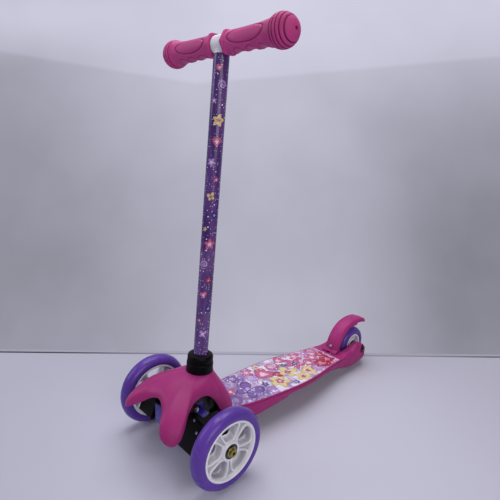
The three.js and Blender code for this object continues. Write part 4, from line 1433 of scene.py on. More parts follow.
@dataclass
class AxleBolt(Assembly):
    """A flanged hexagon bolt along an axle, with its nut."""

    prefix: str
    body: str
    finish: Finish
    radius: float = 4.0
    flange: float = 8.0
    flats: float = 11.0
    socket: float = 5.0

    def build(self) -> None:
        """Makes the bolt from its packed length and dresses the nut."""
        low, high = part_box(f"{self.prefix}_axle_bolt")
        outward = -1 if self.prefix.endswith("right") else 1
        axis = ACROSS * outward
        centre = Vector((0.0, (low.y + high.y) / 2.0, (low.z + high.z) / 2.0))
        end, top = sorted((low.x * outward / MM, high.x * outward / MM))
        seat = top - 5.0

        def six_sided(flats: float, start: float) -> Piece:
            """A hexagon bar along the bolt."""
            ring = [centre + axis * start * MM + Vector((0.0, y, z)) * MM for y, z in hexagon(flats)]
            return prism("flats", ring, axis * 6.0 * MM)

        shank = [(0.0, end), (self.radius - 0.8, end), (self.radius, end + 0.8), (self.radius, seat),
                 (self.flange - 0.4, seat), (self.flange, seat + 0.5), (self.flange - 0.5, seat + 1.2),
                 (self.flats * 0.52, seat + 1.9), (0.0, seat + 1.9)]
        crown = [(0.0, seat + 1.0), (
            self.flats * 0.62, seat + 1.0), (self.flats * 0.62, top - 0.8), (self.flats * 0.5, top), (0.0, top)]
        piece = turned(f"{self.prefix}_axle_bolt_plated", shank, centre, axis, 48)
        head = turned("head", crown, centre, axis, 48)
        combine(head, Joining.KEEP, six_sided(self.flats, seat + 0.5))
        combine(piece, Joining.UNITE, head)
        combine(piece, Joining.CUT, six_sided(self.socket, top - 3.2))
        self.finished(piece, self.finish, self.body, 30.0)
        self.finished(reworked_node(f"{self.prefix}_axle_nut", 0.4), STEEL, self.body)


# Front shell

@dataclass
class FrontShell(Assembly):
    """The four-legged cover over the steering, lofted from the collar to its wavy rim."""

    wall: float = 3.0
    neck_radius: float = 16.6
    neck_ridge: float = 21.0
    neck_height: float = 129.7
    columns: int = 220
    outer_rows: int = 44
    edge_rows: int = 6
    inner_rows: int = 20

    def rim_points(self) -> list[Corner]:
        """The left half of the rim, from the front middle to the rear middle.

        Returns:
            Its points, in millimetres.
        """
        deck = [(x, y, self.layout.tread(y) + 0.3) for x, y in ((28, 69), (14, 75), (0, 78.5))]
        return [(0, -49, 110), (12, -51.5, 106.5), (24, -59, 98.5), (35, -69, 90.5), (45, -75, 85),
                (56, -74, 79), (63.5, -67.5, 76), (67, -58, 79.5), (63, -46.5, 91), (55, -35, 103),
                (46.5, -21, 109), (41, -5, 111.5), (39.5, 10, 109), (40, 22, 98), (42.5, 32, 79),
                (46, 38.5, 62), (48, 47, 56), (45, 55.5, 57.5), (39, 61, 62.9), *deck]

    def build(self) -> None:
        """Makes the shell as one closed double skin and dresses it."""
        left = self.rim_points()
        right = [(-x, y, z) for x, y, z in reversed(left[1:-1])]
        rim = spline([*left, *right], closed=True)
        centre_y = self.layout.stem_foot + math.tan(self.layout.stem_rake) * self.neck_height

        def neck(radial: Vector, radius: float, height: float) -> Vector:
            """A point of the neck's ring, leaned with the stem.

            Args:
                radial: Its direction from the middle.
                radius: Its distance from it.
                height: Its height.

            Returns:
                The point.
            """
            point = Vector((radial.x * radius, radial.y * radius, height))
            lean = Matrix.Rotation(-self.layout.stem_rake, 3, "X") @ point
            return lean + Vector((0.0, self.layout.stem_foot, 0.0))

        def layer(turn: float, share: float, depth: float) -> Vector:
            """A point between the neck and the rim, at a depth in the wall.

            Args:
                turn: The share of a turn round the shell.
                share: How far down, from the neck at 0 to the rim at 1.
                depth: How deep under the skin.

            Returns:
                The point.
            """
            point = rim(turn)
            ahead = rim((turn + 0.001) % 1.0) - rim((turn - 0.001) % 1.0)
            inward = Vector((-ahead.y, ahead.x, 0.0)).normalized()
            radial = Vector((point.x, point.y - centre_y, 0.0))
            reach = radial.length
            radial.normalize()
            radius = self.neck_ridge - depth * 0.4
            top = neck(radial, radius, self.neck_height - depth)
            end = point + inward * depth
            drop = self.neck_height - point.z
            back = max(radial.y, 0.0)
            first = top + radial * (0.42 - 0.3 * back) * (reach - radius)
            first.z -= (0.08 + 0.07 * back) * drop
            second = end.copy()
            second.z += (0.5 - 0.2 * back) * drop + 4.0 * (1.0 - back) - depth * 0.5
            a, b = (1 - share), share
            return top * a**3 + first * 3 * a * a * b + second * 3 * a * b * b + end * b**3

        rows = self.outer_rows + self.edge_rows + self.inner_rows + 2

        def surface(turn: float, down: float) -> Vector:
            """The shell's skin: down the outside, round the rim and up the inside.

            Args:
                turn: The share of a turn round the shell.
                down: The share of the rows passed.

            Returns:
                The point.
            """
            row = round(down * rows)
            turn = turn % 1.0
            if row in (0, rows):
                point = rim(turn)
                radial = Vector((point.x, point.y - centre_y, 0.0)).normalized()
                depth = 0.0 if row == 0 else self.wall
                place = neck(radial, self.neck_radius, self.neck_height - depth)
            elif row <= self.outer_rows:
                place = layer(turn, (row - 1) / (self.outer_rows - 1), 0.0)
            elif row <= self.outer_rows + self.edge_rows:
                step = (row - self.outer_rows) / (self.edge_rows + 1)
                outer, inner = layer(turn, 1.0, 0.0), layer(turn, 1.0, self.wall)
                place = outer.lerp(inner, (1 - math.cos(math.pi * step)) / 2)
                place.z -= math.sin(math.pi * step) * self.wall * 0.35
            else:
                step = (row - self.outer_rows - self.edge_rows - 1) / (self.inner_rows - 1)
                place = layer(turn, 1.0 - min(step, 1.0), self.wall)
            return self.layout.at(*place)

        piece = skin("front_shell_moulding", surface, self.columns, rows)
        bridge_edges(piece)
        self.finished(piece, PINK_PLASTIC, angle=50.0)


# Stem, collar and handlebar

@dataclass
class Stem(Assembly):
    """The raked tube, its two-tier collar, lock button and the tee on top."""

    radius: float = 11.1
    wall: float = 1.4
    collar_foot: float = 130.0
    collar_split: float = 144.8
    collar_top: float = 158.0
    collar_radius: float = 20.6
    cap_radius: float = 19.8
    tee_radius: float = 12.8
    tee_half: float = 11.0

    def spun(self, name: str, outline: Sequence[Point], steps: int = 72) -> Piece:
        """A turned form about the stem's axis."""
        return turned(name, outline, self.layout.on_stem(0.0, 0.0, 0.0), self.layout.stem_axis, steps)

    def lock_hole(self, depth: float) -> Piece:
        """The space of the lock button's hole, from the stem's axis to the rear.

        Args:
            depth: How far it reaches.

        Returns:
            The space, to cut from a piece.
        """
        foot, middle = self.layout.on_stem(0.0, 0.0, 0.0), (self.collar_foot + self.collar_split) / 2.0
        axis = self.layout.on_stem(0.0, 1.0, 0.0) - foot
        return cylinder(foot + self.layout.stem_axis * middle * MM, axis, 4.5, 0.0, depth, 32)

    def build(self) -> None:
        """Makes and dresses every piece of the stem."""
        self.tube()
        self.socket()
        self.cap()
        self.tee()
        self.palette.redress(STEEL, "lock_button", "lock_spring")

    def tube(self) -> None:
        """The tube under its printed film, with rolled ends and the lock button's hole."""
        low, top = 66.3, self.layout.bar_station - self.tee_radius - 0.3
        outer, inner = self.radius, self.radius - self.wall
        outline = [(inner, low + 0.4), (inner + 0.4, low), (outer - 0.4, low), (outer, low + 0.4),
                   *[(outer, low + (top - low) * i / 12) for i in range(1, 12)],
                   (outer, top - 0.4), (outer - 0.4, top), (inner + 0.4, top), (inner, top - 0.4)]
        piece = self.spun("stem_tube_film", outline, 96)
        combine(piece, Joining.CUT, self.lock_hole(20.0))
        self.finished(piece, self.palette.stem_film)

    def socket(self) -> None:
        """The collar's lower tier on its sleeve, with a moulded foot ring and a fine groove."""
        bore, r = self.radius + 0.3, self.collar_radius
        foot, top = self.collar_foot, self.collar_split
        outline = [
            (bore, 66.3), (bore, top), (r - 1.4, top), (r - 0.5, top - 0.3), (r, top - 1.0), (r, top - 2.6),
            (r - 0.35, top - 2.9), (r - 0.35, top - 3.5), (r, top - 3.8), (r + 0.15, foot + 4.0),
            (r + 0.55, foot + 1.6), (r + 0.6, foot + 0.5), (r + 0.3, foot), (16.0, foot), (16.0, 64.0), (15.3, 63.3),
            (8.0, 63.3), (8.0, 66.0)]
        piece = self.spun("collar_socket_moulding", outline)
        combine(piece, Joining.CUT, self.lock_hole(40.0))
        self.finished(piece, BLACK_PLASTIC)

    def cap(self) -> None:
        """The collar's upper tier with its rounded shoulder."""
        bore, low, r, top = self.radius + 0.3, self.collar_split + 0.3, self.cap_radius, self.collar_top
        shoulder = arc((r - 6.0, top - 5.0), (6.0, 5.0), 10)
        outline = [(bore, low), (r - 1.0, low), (r - 0.2, low + 0.4), (r, low + 1.2), *shoulder,
                   (bore + 0.8, top), (bore, top - 0.8)]
        self.finished(self.spun("collar_cap_moulding", outline), BLACK_PLASTIC)

    def tee(self) -> None:
        """The white tee: a short sleeve round the bar, blended into its plug in the tube."""
        centre = self.layout.bar_middle
        bore, r, half = self.radius + 0.3, self.tee_radius, self.tee_half
        sleeve = mirrored([(bore, -half), (r - 0.6, -half), (r, 0.6 - half)])
        piece = turned("bar_tee_moulding", sleeve, centre, ACROSS, 64)
        end = self.layout.bar_station
        foot = end - self.tee_radius
        plug = [(0.0, end - 45.0), (9.0, end - 45.0), (9.4, end - 44.0), (9.4, foot), (11.1, foot),
                (11.1, foot + 1.5), (10.4, foot + 3.5), (10.2, end - 5.0), (0.0, end - 5.0)]
        combine(piece, Joining.UNITE, self.spun("stub", plug, 48))
        combine(piece, Joining.CUT, cylinder(centre, ACROSS, bore, -40.0, 40.0, 64))
        self.finished(piece, WHITE_PLASTIC)


@dataclass
class Grip(Assembly):
    """One rubber grip: hexagon flange, thumb pad, finger scallops and a ringed ball end."""

    side: Side
    bore: float = 11.4
    start: float = 12.5
    flange: float = 6.0
    flange_radius: float = 17.6
    body_radius: float = 14.9
    ball_centre: float = 111.2
    ball_radius: float = 20.25
    rings: int = 5
    hole: float = 2.1
    scallops: tuple[float, ...] = (38.0, 62.0, 84.0)

    def radius_at(self, x: float) -> float:
        """The plain radius, with the ball's ring grooves.

        Args:
            x: The station along the grip.

        Returns:
            The radius in millimetres.
        """
        flare = 1.4 * ramp(x, self.ball_centre - 34.0, self.ball_centre - 14.0)
        body = self.body_radius - 0.5 * bump(x - 45.0, 40.0) + flare
        offset = x - self.ball_centre
        if abs(offset) >= self.ball_radius:
            return body if offset < 0.0 else 0.0
        ball = math.sqrt(self.ball_radius**2 - offset**2)
        if offset < -11.0:
            return max(body, ball)
        return ball - sum(1.8 * bump(offset + 5.6 - 4.8 * i, 1.3) for i in range(self.rings))

    def relief(self, x: float, angle: float) -> float:
        """How far the pads stand out of or sink into the plain surface.

        Args:
            x: The station along the grip.
            angle: Round the grip, zero at the front and positive upwards.

        Returns:
            The height in millimetres.
        """
        rubber = self.palette.grip_rubber
        along = (x - rubber.pad_middle) / rubber.pad_half
        ring = math.hypot(along, (angle - rubber.pad_angle) / rubber.pad_spread)
        height = -1.1 * bump(ring - 1.0, 0.1) + 0.6 * (1.0 - ramp(ring, 0.8, 0.98))
        for middle in self.scallops:
            reach = (angle + math.radians(88.0)) / math.radians(40.0)
            span = (x - middle) / 10.5
            ring = math.hypot(span, max(reach, 0.0))
            fade = 1.0 - ramp(abs(reach), 1.2, 1.6) if reach < 0.0 else 1.0
            height -= 1.2 * bump(ring - 1.0, 0.13) * fade
            height -= 1.1 * (1.0 - ramp(ring, 0.5, 0.95)) * fade
            height += 0.6 * bump(ring - 1.26, 0.16) * fade
        return height

    def place(self, x: float, radius: float, angle: float) -> Vector:
        """A point from its station, its radius and its angle from the front upwards."""
        outward = Vector((self.side.value * x, -radius * math.cos(angle), radius * math.sin(angle)))
        return self.layout.bar_middle + outward * MM

    def stations(self) -> list[float]:
        """Where the grip's rings lie, finer over the ball's end.

        Returns:
            Stations from the flange outwards.
        """
        first, reach = self.start + self.flange - 1.0, self.ball_centre + 15.4
        xs = [first + (reach - first) * i / 190 for i in range(191)]
        turns = [math.radians(49.5 + 37.5 * i / 16) for i in range(1, 17)]
        return xs + [self.ball_centre + self.ball_radius * math.sin(turn) for turn in turns]

    def build(self) -> None:
        """Makes and dresses the grip."""
        end = self.ball_centre + self.ball_radius * 0.9985
        xs = self.stations()
        inside = {0: (xs[0], self.bore), len(xs) + 1: (end, self.hole), len(xs) + 2: (end - 8.0, self.hole),
                  len(xs) + 3: (end - 8.0, self.bore)}

        def surface(turn: float, down: float) -> Vector:
            """The grip's skin, in through the end hole and out at the flange.

            Args:
                turn: The share of a turn round the grip.
                down: The share of the rows passed.

            Returns:
                The point.
            """
            angle = TAU * (turn % 1.0)
            row = round(down * (len(xs) + 3))
            if row in inside:
                return self.place(*inside[row], angle)
            x = xs[row - 1]
            radius = self.radius_at(x)
            if xs[0] + 2.0 < x < self.ball_centre - 16.0:
                radius += self.relief(x, angle if angle <= math.pi else angle - TAU)
            return self.place(x, max(radius, self.hole), angle)

        piece = skin(f"grip_{self.side.word}_rubber", surface, 144, len(xs) + 3)
        bridge_edges(piece)
        combine(piece, Joining.UNITE, self.hex_flange())
        self.finished(piece, self.palette.grip_rubber, angle=40.0)

    def hex_flange(self) -> Piece:
        """The flange beside the tee: a hexagon with eased corners and a hole for the bar.

        Returns:
            The flange.
        """
        corners = [(self.flange_radius * math.cos(TAU * i / 6), self.flange_radius * math.sin(TAU * i / 6), 2.6)
                   for i in range(6)]
        eased = [(math.hypot(y, z), math.atan2(z, y)) for y, z in filleted(corners, 5)]
        rows = [(0.0, 0.94), (0.35, 0.985), (1.0, 1.0), (self.flange - 1.2, 1.0),
                (self.flange - 0.4, 0.975), (self.flange, 0.92), (self.flange + 1.6, 0.88)]
        rings = [[self.place(self.start + x, radius * share, angle) for radius, angle in eased] for x, share in rows]
        ends = [[self.place(self.start + rows[i][0], self.bore, angle) for _, angle in eased] for i in (0, -1)]
        flange = loft("flange", [ends[0], *rings, ends[1]])
        bridge_edges(flange)
        return flange


# Deck

SCREW_PLACES = ((-14.0, 62.0), (-14.0, 88.0), (14.0, 62.0), (14.0, 88.0))


@dataclass
class Deck(Assembly):
    """The tread, its side walls, the ribs below and the fork for the rear wheel."""

    nose: float = 48.0
    tail: float = 463.5
    tread_end: float = 372.0
    plate: float = 4.5
    wall: float = 3.6
    hollow_end: float = 352.0
    rib_foot: float = 31.0
    ledge: float = 1.7
    sheet_end: float = 358.0
    sheet_thickness: float = 0.7
    gap: float = 0.3
    fork_gap: float = 17.5
    fork_cheek: float = 12.0
    fork_start: float = 388.0
    axle: Point = (443.0, 40.0)
    pivot: Point = (376.0, 35.5)

    def __post_init__(self) -> None:
        """Lays the deck's lines: half its width, its crease, and the fork's arms inside and outside."""
        self.width = profile([
            (42, 34), (64, 36), (97, 45), (140, 50), (187, 53.4), (226, 54.3), (264, 51.4), (304, 45.3), (345, 39.6),
            (380, 37.6), (420, 37), (446, 35.5)])
        self.arm_inside = profile([
            (372, 42.3), (383, 44.6), (394, 45.4), (405, 46.8), (412, 48.6), (420, 51.2), (428, 52.6), (436, 51.8),
            (443, 49), (450, 44.5), (456, 38.5), (463, 27.5)])
        self.crease = profile([
            (40, 55), (200, 45.2), (330, 36.8), (352, 33.6), (366, 30.6), (379, 30.2), (386, 32.6), (392, 36),
            (399, 39.8), (406, 43.6), (413, 47.8), (420, 52), (426, 55), (432, 56.4), (438, 54.9)])
        self.shoulder = profile([
            (372, 0), (385, 0.8), (396, 2.2), (406, 3.6), (415, 5), (424, 6.3), (436, 6.6), (446, 5.4), (456, 3),
            (463, 0.6)])

    def half_width(self, y: float) -> float:
        """Half the deck's width at a place along it."""
        share = max(y - 446.0, 0.0) / (self.tail - 446.0)
        return self.width(y) - 10.5 * min(share, 1.0)**3

    def stations(self) -> list[tuple[float, float, float, float]]:
        """A place, the crease's height there and the bottom point that goes with it, from nose to tail.

        Returns:
            One row for each cut across the wall.
        """
        belly = profile([(48, 42), (70, 35), (100, 29.5), (121, 30), (147, 33), (164, 34), (178, 36), (190, 39.5),
                         (204, 43), (220, 42.6), (247, 39.5), (283, 34.5), (320, 29.5), (358, 21.5), (372, 18.2)])
        step = (self.tread_end - self.nose) / 60
        lines = [(y, self.crease(y), y, belly(y)) for y in (self.nose + step * i for i in range(61))]
        ridge = [(y, self.crease(y)) for y in (372, 379, 386, 392, 399, 406, 413, 420, 426, 432, 438)]
        top = spline([*ridge, (445, 51), (452, 45.2), (458, 38), (462, 31), (463, 26)])
        low = spline([(372, 18.2), (380, 16.4), (400, 12.6), (415, 12), (431, 13), (444, 14.6), (454, 17.4),
                      (461, 21.5), (463, 26)])
        for i in range(1, 61):
            upper, lower = top(i / 60), low((i / 60)**0.92)
            lines.append((upper.x, upper.y, lower.x, lower.y))
        return lines

    def section(self, station: tuple[float, float, float, float]) -> list[Vector]:
        """The closed outline of the outside at one station.

        Args:
            station: Place and height of the crease, then of the bottom that goes with it.

        Returns:
            Points from the middle of the top, down the left, under, and up the right.
        """
        y, crease, y_low, foot = station
        wide = self.half_width(y)
        tread = self.layout.tread(min(y, self.tread_end))
        inside = min(self.arm_inside(y), crease + 40.0) if y > self.tread_end else tread
        rim = wide - 2.7
        flat = [(rim * i / 11, tread) for i in range(12)]
        flat += [(rim + 1.3 * math.sin(a), tread - 1.3 * (1.0 - math.cos(a))) for a in (0.4, 0.8, 1.2, 1.57)]
        flat += [(wide - 1.2, tread - 2.7), (wide - 2.2, tread - 3.1), (wide - 2.2, tread - 3.6),
                 (wide - 0.8, tread - 4.1), (wide - 0.5, (tread - 4.1 + crease) / 2.0), (wide, crease + 0.6)]
        count = len(flat)
        slant = []
        ridge = wide - self.shoulder(y)
        bow = 8.0 - 6.5 * ramp(y, 392.0, 414.0)
        crown = 5.6 * ramp(y, 404.0, 424.0) * (1.0 - ramp(y, 438.0, 460.0))
        for i in range(count):
            x = ridge * (1.0 - (1.0 - i / count)**1.6)
            share = max(x - self.fork_gap, 0.0) / (ridge - self.fork_gap)
            slant.append((x, inside + (crease - inside) * share**bow + crown * share * (1.0 - share)))
        blend = ramp(y, self.tread_end - 4.0, 394.0)
        half = [(a[0] + (b[0] - a[0]) * blend, y, a[1] + (b[1] - a[1]) * blend) for a, b in zip(flat, slant)]
        tall = crease - foot
        low_round = min(2.2 + 1.8 * ramp(y, 366.0, 410.0), max(tall * 0.4, 0.02))
        draft = 2.8 * (1.0 - ramp(y, 330.0, 400.0))

        def at(depth: float, inset: float) -> Corner:
            """A point of the side wall, at a depth below the crease and an inset from the plan outline.

            Args:
                depth: The depth in millimetres.
                inset: The inset in millimetres.

            Returns:
                The point.
            """
            share = min(max(depth / tall, 0.0), 1.0) if tall > 1e-6 else 0.0
            place = y + (y_low - y) * share
            return self.half_width(place) - inset, place, crease + (foot - crease) * share

        fall = self.shoulder(y)
        undercut = 1.6 * (1.0 - ramp(y, self.tread_end, 394.0))
        ledge = min(0.9 + 1.15 * fall, tall * 0.3)
        half += [at(0.0, fall), at(
            ledge * 0.3, fall * 0.62 + undercut * 0.5), at(ledge * 0.65, fall * 0.25 + undercut), at(ledge, undercut)]
        for i in range(1, 6):
            half.append(at(ledge + (tall - low_round - ledge) * i / 5, undercut + draft * i / 5))
        for i in range(1, 6):
            angle = math.pi / 2 * i / 5
            inset = undercut + draft + low_round * (1 - math.cos(angle))
            half.append(at(tall - low_round * (1 - math.sin(angle)), inset))
        under = half[-1]
        half += [(under[0] * (1 - i / 4), under[1], under[2]) for i in range(1, 5)]
        ring = [self.layout.at(*point) for point in half]
        return ring + [self.layout.at(-x, a, b) for x, a, b in reversed(half[1:-1])]

    def slab(self, name: str, outline: Sequence[Point], low: float, high: float) -> Piece:
        """A plate along the sloping tread, between two heights above it."""
        corners = [self.layout.at(x, y, self.layout.tread(y) + low) for x, y in outline]
        return prism(name, corners, UP * ((high - low) * MM))

    def sheet_outline(self, grow: float) -> list[Point]:
        """The printed sheet's outline: inside the ledge, with a straight rear end.

        Args:
            grow: How much wider than the sheet it is.

        Returns:
            Points in the plan.
        """
        start, end = 58.0 - grow, self.sheet_end + grow
        ys = [start + (end - start) * i / 90 for i in range(91)]
        left = [(self.half_width(y) - 1.6 - self.ledge + grow, y, 0.0) for y in ys]
        left[-1] = (*left[-1][:2], 1.2)
        return filleted(left + [(-x, y, r) for x, y, r in reversed(left)], 5)

    def hollow(self) -> Piece:
        """The space under the tread, with its ribs left standing.

        Returns:
            The space.
        """
        start, end = self.nose - 8.0, self.hollow_end
        rings = []
        for y in (start + (end - start) * i / 60 for i in range(61)):
            roof = self.layout.tread(y) - self.plate
            top = self.half_width(y) - self.wall - 2.4
            side = top - 2.2
            half = [(0.0, roof), (top - 3.0, roof), (top - 0.8, roof - 0.8), (top, roof - 3.0),
                    (side + 1.0, roof - 12.0), (side, 5.0)]
            rings.append([self.layout.at(x, y, z) for x, z in half + [(-x, z) for x, z in reversed(half[1:])]])
        space = loft("space", rings, caps=True)
        ribs = [(-70.0, 70.0, y, y + 2.4) for y in (130.0, 202.0, 274.0, 346.0)]
        ribs += [(x - 1.2, x + 1.2, 103.0, end + 2.0) for x in (-24.0, 24.0)]
        for x0, x1, y0, y1 in ribs:
            block = box(self.layout.at(x0, y0, self.rib_foot), self.layout.at(x1, y1, 70.0))
            combine(space, Joining.CUT, block)
        return space

    def build(self) -> None:
        """Makes and dresses the deck and its printed sheet."""
        at = self.layout.at
        body = loft("deck_moulding", [self.section(station) for station in self.stations()], caps=True)
        recess = self.slab("recess", self.sheet_outline(self.gap), -self.sheet_thickness - self.gap, 6.0)
        start, end = self.fork_start, self.tail + 20.0
        well = [(start, 0.0, 0.0), (start, 90.0, 0.0), (end, 90.0, 0.0), (end, 0.0, 0.0)]
        neck, front = 16.7, self.pivot[0] - 11.5
        slot = [(-neck, front, 2.0), (neck, front, 2.0), (neck, start + 1.0, 0.0), (-neck, start + 1.0, 0.0)]
        corners = [at(x, y, 0.0) for x, y in filleted(slot, 5)]
        combine(body, Joining.CUT, self.hollow(), recess,
                self.side_prism("well", well, -self.fork_gap, self.fork_gap),
                prism("slot", corners, UP * (90.0 * MM)))
        seat = self.fork_gap + self.fork_cheek
        for radius, low, high, place in ((4.3, -200.0, 200.0, self.axle), (9.5, seat, 200.0, self.axle),
                                         (9.5, -200.0, -seat, self.axle), (2.8, -200.0, 30.3, self.pivot)):
            combine(body, Joining.CUT, cylinder(at(0.0, *place), ACROSS, radius, low, high, 40))
        for x, y in SCREW_PLACES:
            combine(body, Joining.CUT, cylinder(at(x, y, 0.0), UP, 2.8, 30.0, self.layout.tread(y) - 1.6, 20))
        self.finished(body, PINK_PLASTIC, angle=30.0)
        sheet = self.slab("deck_sheet_printed", self.sheet_outline(0.0), -self.sheet_thickness, 0.0)
        soften(sheet, 0.2, 1)
        self.finished(sheet, self.palette.deck_print)


# Steering

@dataclass
class SteeringGear(Assembly):
    """The blue beam under the collar, its kingpins, knuckles, bushes and the tie rod."""

    def rod(self, side: Side, radius: float, low: float, high: float, y: float = 0.0) -> Piece:
        """A cylinder about a kingpin, or beside it at a distance behind."""
        return cylinder(self.layout.on_kingpin(side, 0.0, y, 0.0), self.layout.kingpin_axis, radius, low, high, 48)

    def block(self, side: Side, xs: Point, ys: Point, zs: Point, name: str = "block") -> Piece:
        """A block square to a kingpin.

        Args:
            side: Which side's kingpin.
            xs: Where it starts and ends outwards.
            ys: Where it starts and ends behind the kingpin.
            zs: Where it starts and ends along it.
            name: The new object's name.

        Returns:
            The block.
        """
        corners = [self.layout.on_kingpin(side, x, y, zs[0]) for x, y in (
            (xs[0], ys[0]), (xs[1], ys[0]), (xs[1], ys[1]), (xs[0], ys[1]))]
        return prism(name, corners, self.layout.kingpin_axis * (zs[1] - zs[0]) * MM)

    def build(self) -> None:
        """Makes and dresses the steering pieces."""
        self.beam()
        for side in Side:
            self.knuckle(side)
            self.kingpin(side)
            self.palette.redress(STEEL, f"tie_rod_pin_{side.word}")
        self.finished(reworked_node("tie_rod", 0.5), STEEL, "tie_rod")
        self.palette.redress(STEEL, *(f"beam_bolt_{i}" for i in range(1, 5)))

    def beam(self) -> None:
        """The moulded beam: nose block, socket boss, barrels, side pockets and a tail under the deck."""
        at, tread = self.layout.at, self.layout.tread
        stem, stem_axis = self.layout.on_stem(0.0, 0.0, 0.0), self.layout.stem_axis
        w, nose, foot, top, rear = 24.5, -46.0, 46.0, 98.0, 47.4
        plan = [(-w, nose + 1, 13), (w, nose + 1, 13), (w, rear, 4), (-w, rear, 4)]
        body = prism("steering_beam_moulding", [
            at(x, y, foot - 6) for x, y in filleted(plan, 10)], UP * ((top + 13 - foot) * MM))
        side = [(nose, foot + 16, 3), (nose, top - 10, 6), (nose + 10, top, 6), (rear + 1, top, 4),
                (rear + 1, foot, 3), (nose + 16, foot, 6)]
        combine(body, Joining.KEEP, self.side_prism("side", side, -w - 1, w + 1))
        for x in (-w, w):
            for low, high, z0, z1 in ((-31.0, -16.0, 58.0, 88.0), (26.0, 42.0, 62.0, 88.0)):
                pocket = [(low, z0, 2.5), (high, z0, 2.5), (high, z1, 2.5), (low, z1, 2.5)]
                combine(body, Joining.CUT, self.side_prism("pocket", pocket, x - 5.0, x + 5.0))
        boss = [(0.0, 60.0), (21.0, 60.0), (21.0, top + 12.6), (20.2, top + 13.6), (19.0, top + 14.0),
                (0.0, top + 14.0)]
        tail = [(40.0, foot, 0), (101.0, foot - 2.0, 3), (101.0, tread(101.0) - 4.8, 0), (40.0, tread(40.0) - 4.8, 0)]
        combine(body, Joining.UNITE, turned("boss", boss, stem, stem_axis, 64),
                self.side_prism("tail", tail, -23.0, 23.0))
        for which in Side:
            neck = self.block(which, (-16.0, 0.0), (-8.0, 8.0), (-8.5, 14.7))
            combine(body, Joining.UNITE, neck, self.rod(which, 9.5, -8.5, 14.7))
        combine(body, Joining.CUT, *(self.rod(which, 4.3, -17.5, 23.7) for which in Side),
                cylinder(stem, stem_axis, 16.3, 63.0, 130.0, 64),
                *(cylinder(at(x, y, 0.0), UP, 2.8, 30.0, 80.0, 24) for x, y in SCREW_PLACES),
                self.block(Side.LEFT, (-76.0, 40.0), (8.0, 24.0), (-200.0, -22.6)))
        soften(body, 0.7)
        self.finished(body, self.palette.beam_plastic)

    def knuckle(self, side: Side) -> None:
        """A steering knuckle: clevis lugs, a hollow wall beside the wheel, an arm and the axle's boss.

        Args:
            side: Which side's knuckle.
        """
        sign, body_name = side.value, f"steering_{side.word}"
        lug_top, lug_bottom, lug = 15.0, -15.1, 9.5
        foot, head = lug_bottom - lug, lug_top + lug
        wall = [(-43, 49, 5), (26, 49, 5), (12, 95, 5), (-21, 95, 5)]
        hollow = [(-36.5, 53, 2), (40, 53, 2), (40, 105, 2), (-12, 105, 2), (-15, 91, 2)]
        body = self.side_prism(f"knuckle_{side.word}_moulding", wall, sign * 38.0, sign * 74.0)
        combine(body, Joining.CUT, self.side_prism("hollow", hollow, sign * 30.0, sign * 62.0))
        for low, high in ((lug_top, head), (foot, lug_bottom)):
            plate = self.block(side, (0.0, 27.0), (-lug, lug), (low, high))
            combine(body, Joining.UNITE, plate, self.rod(side, lug, low, high))
        combine(body, Joining.CUT, self.rod(side, 10.7, lug_bottom, lug_top),
                self.block(side, (-29.0, -3.0), (-200.0, 200.0), (lug_bottom, lug_top)))
        axle, axis = self.layout.at(0.0, 0.0, 60.0), ACROSS * sign
        boss = [(0.0, 72.0), (8.4, 72.0), (7.6, 78.0), (7.0, 87.2), (6.4, 88.0), (0.0, 88.0)]
        combine(body, Joining.UNITE, self.block(side, (-6.0, 6.0), (0.0, 16.0), (foot, lug_bottom)),
                self.rod(side, 6.0, foot, lug_bottom, 16.0), turned("boss", boss, axle, axis, 48))
        combine(body, Joining.CUT, cylinder(axle, axis, 4.3, 0.0, 200.0, 40),
                cylinder(axle, axis, 9.3, 50.0, 62.0, 40))
        for radius, low, high, y in ((4.3, -200.0, 200.0, 0.0), (9.2, head, 200.0, 0.0), (9.2, -200.0, foot, 0.0),
                                     (7.2, -200.0, foot, 16.0), (2.8, foot - 1.0, lug_bottom + 1.0, 16.0)):
            combine(body, Joining.CUT, self.rod(side, radius, low, high, y))
        combine(body, Joining.CUT, self.block(side, (-30.0, 0.0), (8.8, 23.2), (-200.0, foot)))
        soften(body, 0.6)
        self.finished(body, BLACK_PLASTIC, body_name)
        plate = self.block(side, (0.0, 25.6), (-8.6, 9.0), (head, head + 1.6), f"thrust_plate_{side.word}")
        combine(plate, Joining.CUT, self.rod(side, 9.2, head - 5.0, head + 5.0))
        soften(plate, 0.4)
        smooth(plate)
        self.palette.dress(plate, BLUE_PLATE, body_name)
        for i, (x, height) in enumerate(((53.5, 90.5), (66.0, 79.5))):
            self.wall_screw(side, f"knuckle_screw_{side.word}_{i + 1}", x, height)

    def wall_screw(self, side: Side, name: str, x: float, height: float) -> None:
        """A small pan-head screw in the knuckle's sloping front wall.

        Args:
            side: Which side's knuckle.
            name: The screw's name.
            x: How far it is from the scooter's middle.
            height: How high it is.
        """
        slope = math.atan2(22.0, 46.0)
        place = self.layout.at(side.value * x, -43.0 + (height - 49.0) * math.tan(slope), height)
        axis = Vector((0.0, -math.cos(slope), math.sin(slope)))
        head = [(0.0, -3.0), (0.9, -3.0), (0.9, 0.0), (2.1, 0.0), (2.0, 0.7), (1.4, 1.2), (0.0, 1.4)]
        screw = turned(name, head, place, axis, 24)
        smooth(screw, 35.0)
        self.palette.dress(screw, STEEL, f"steering_{side.word}")

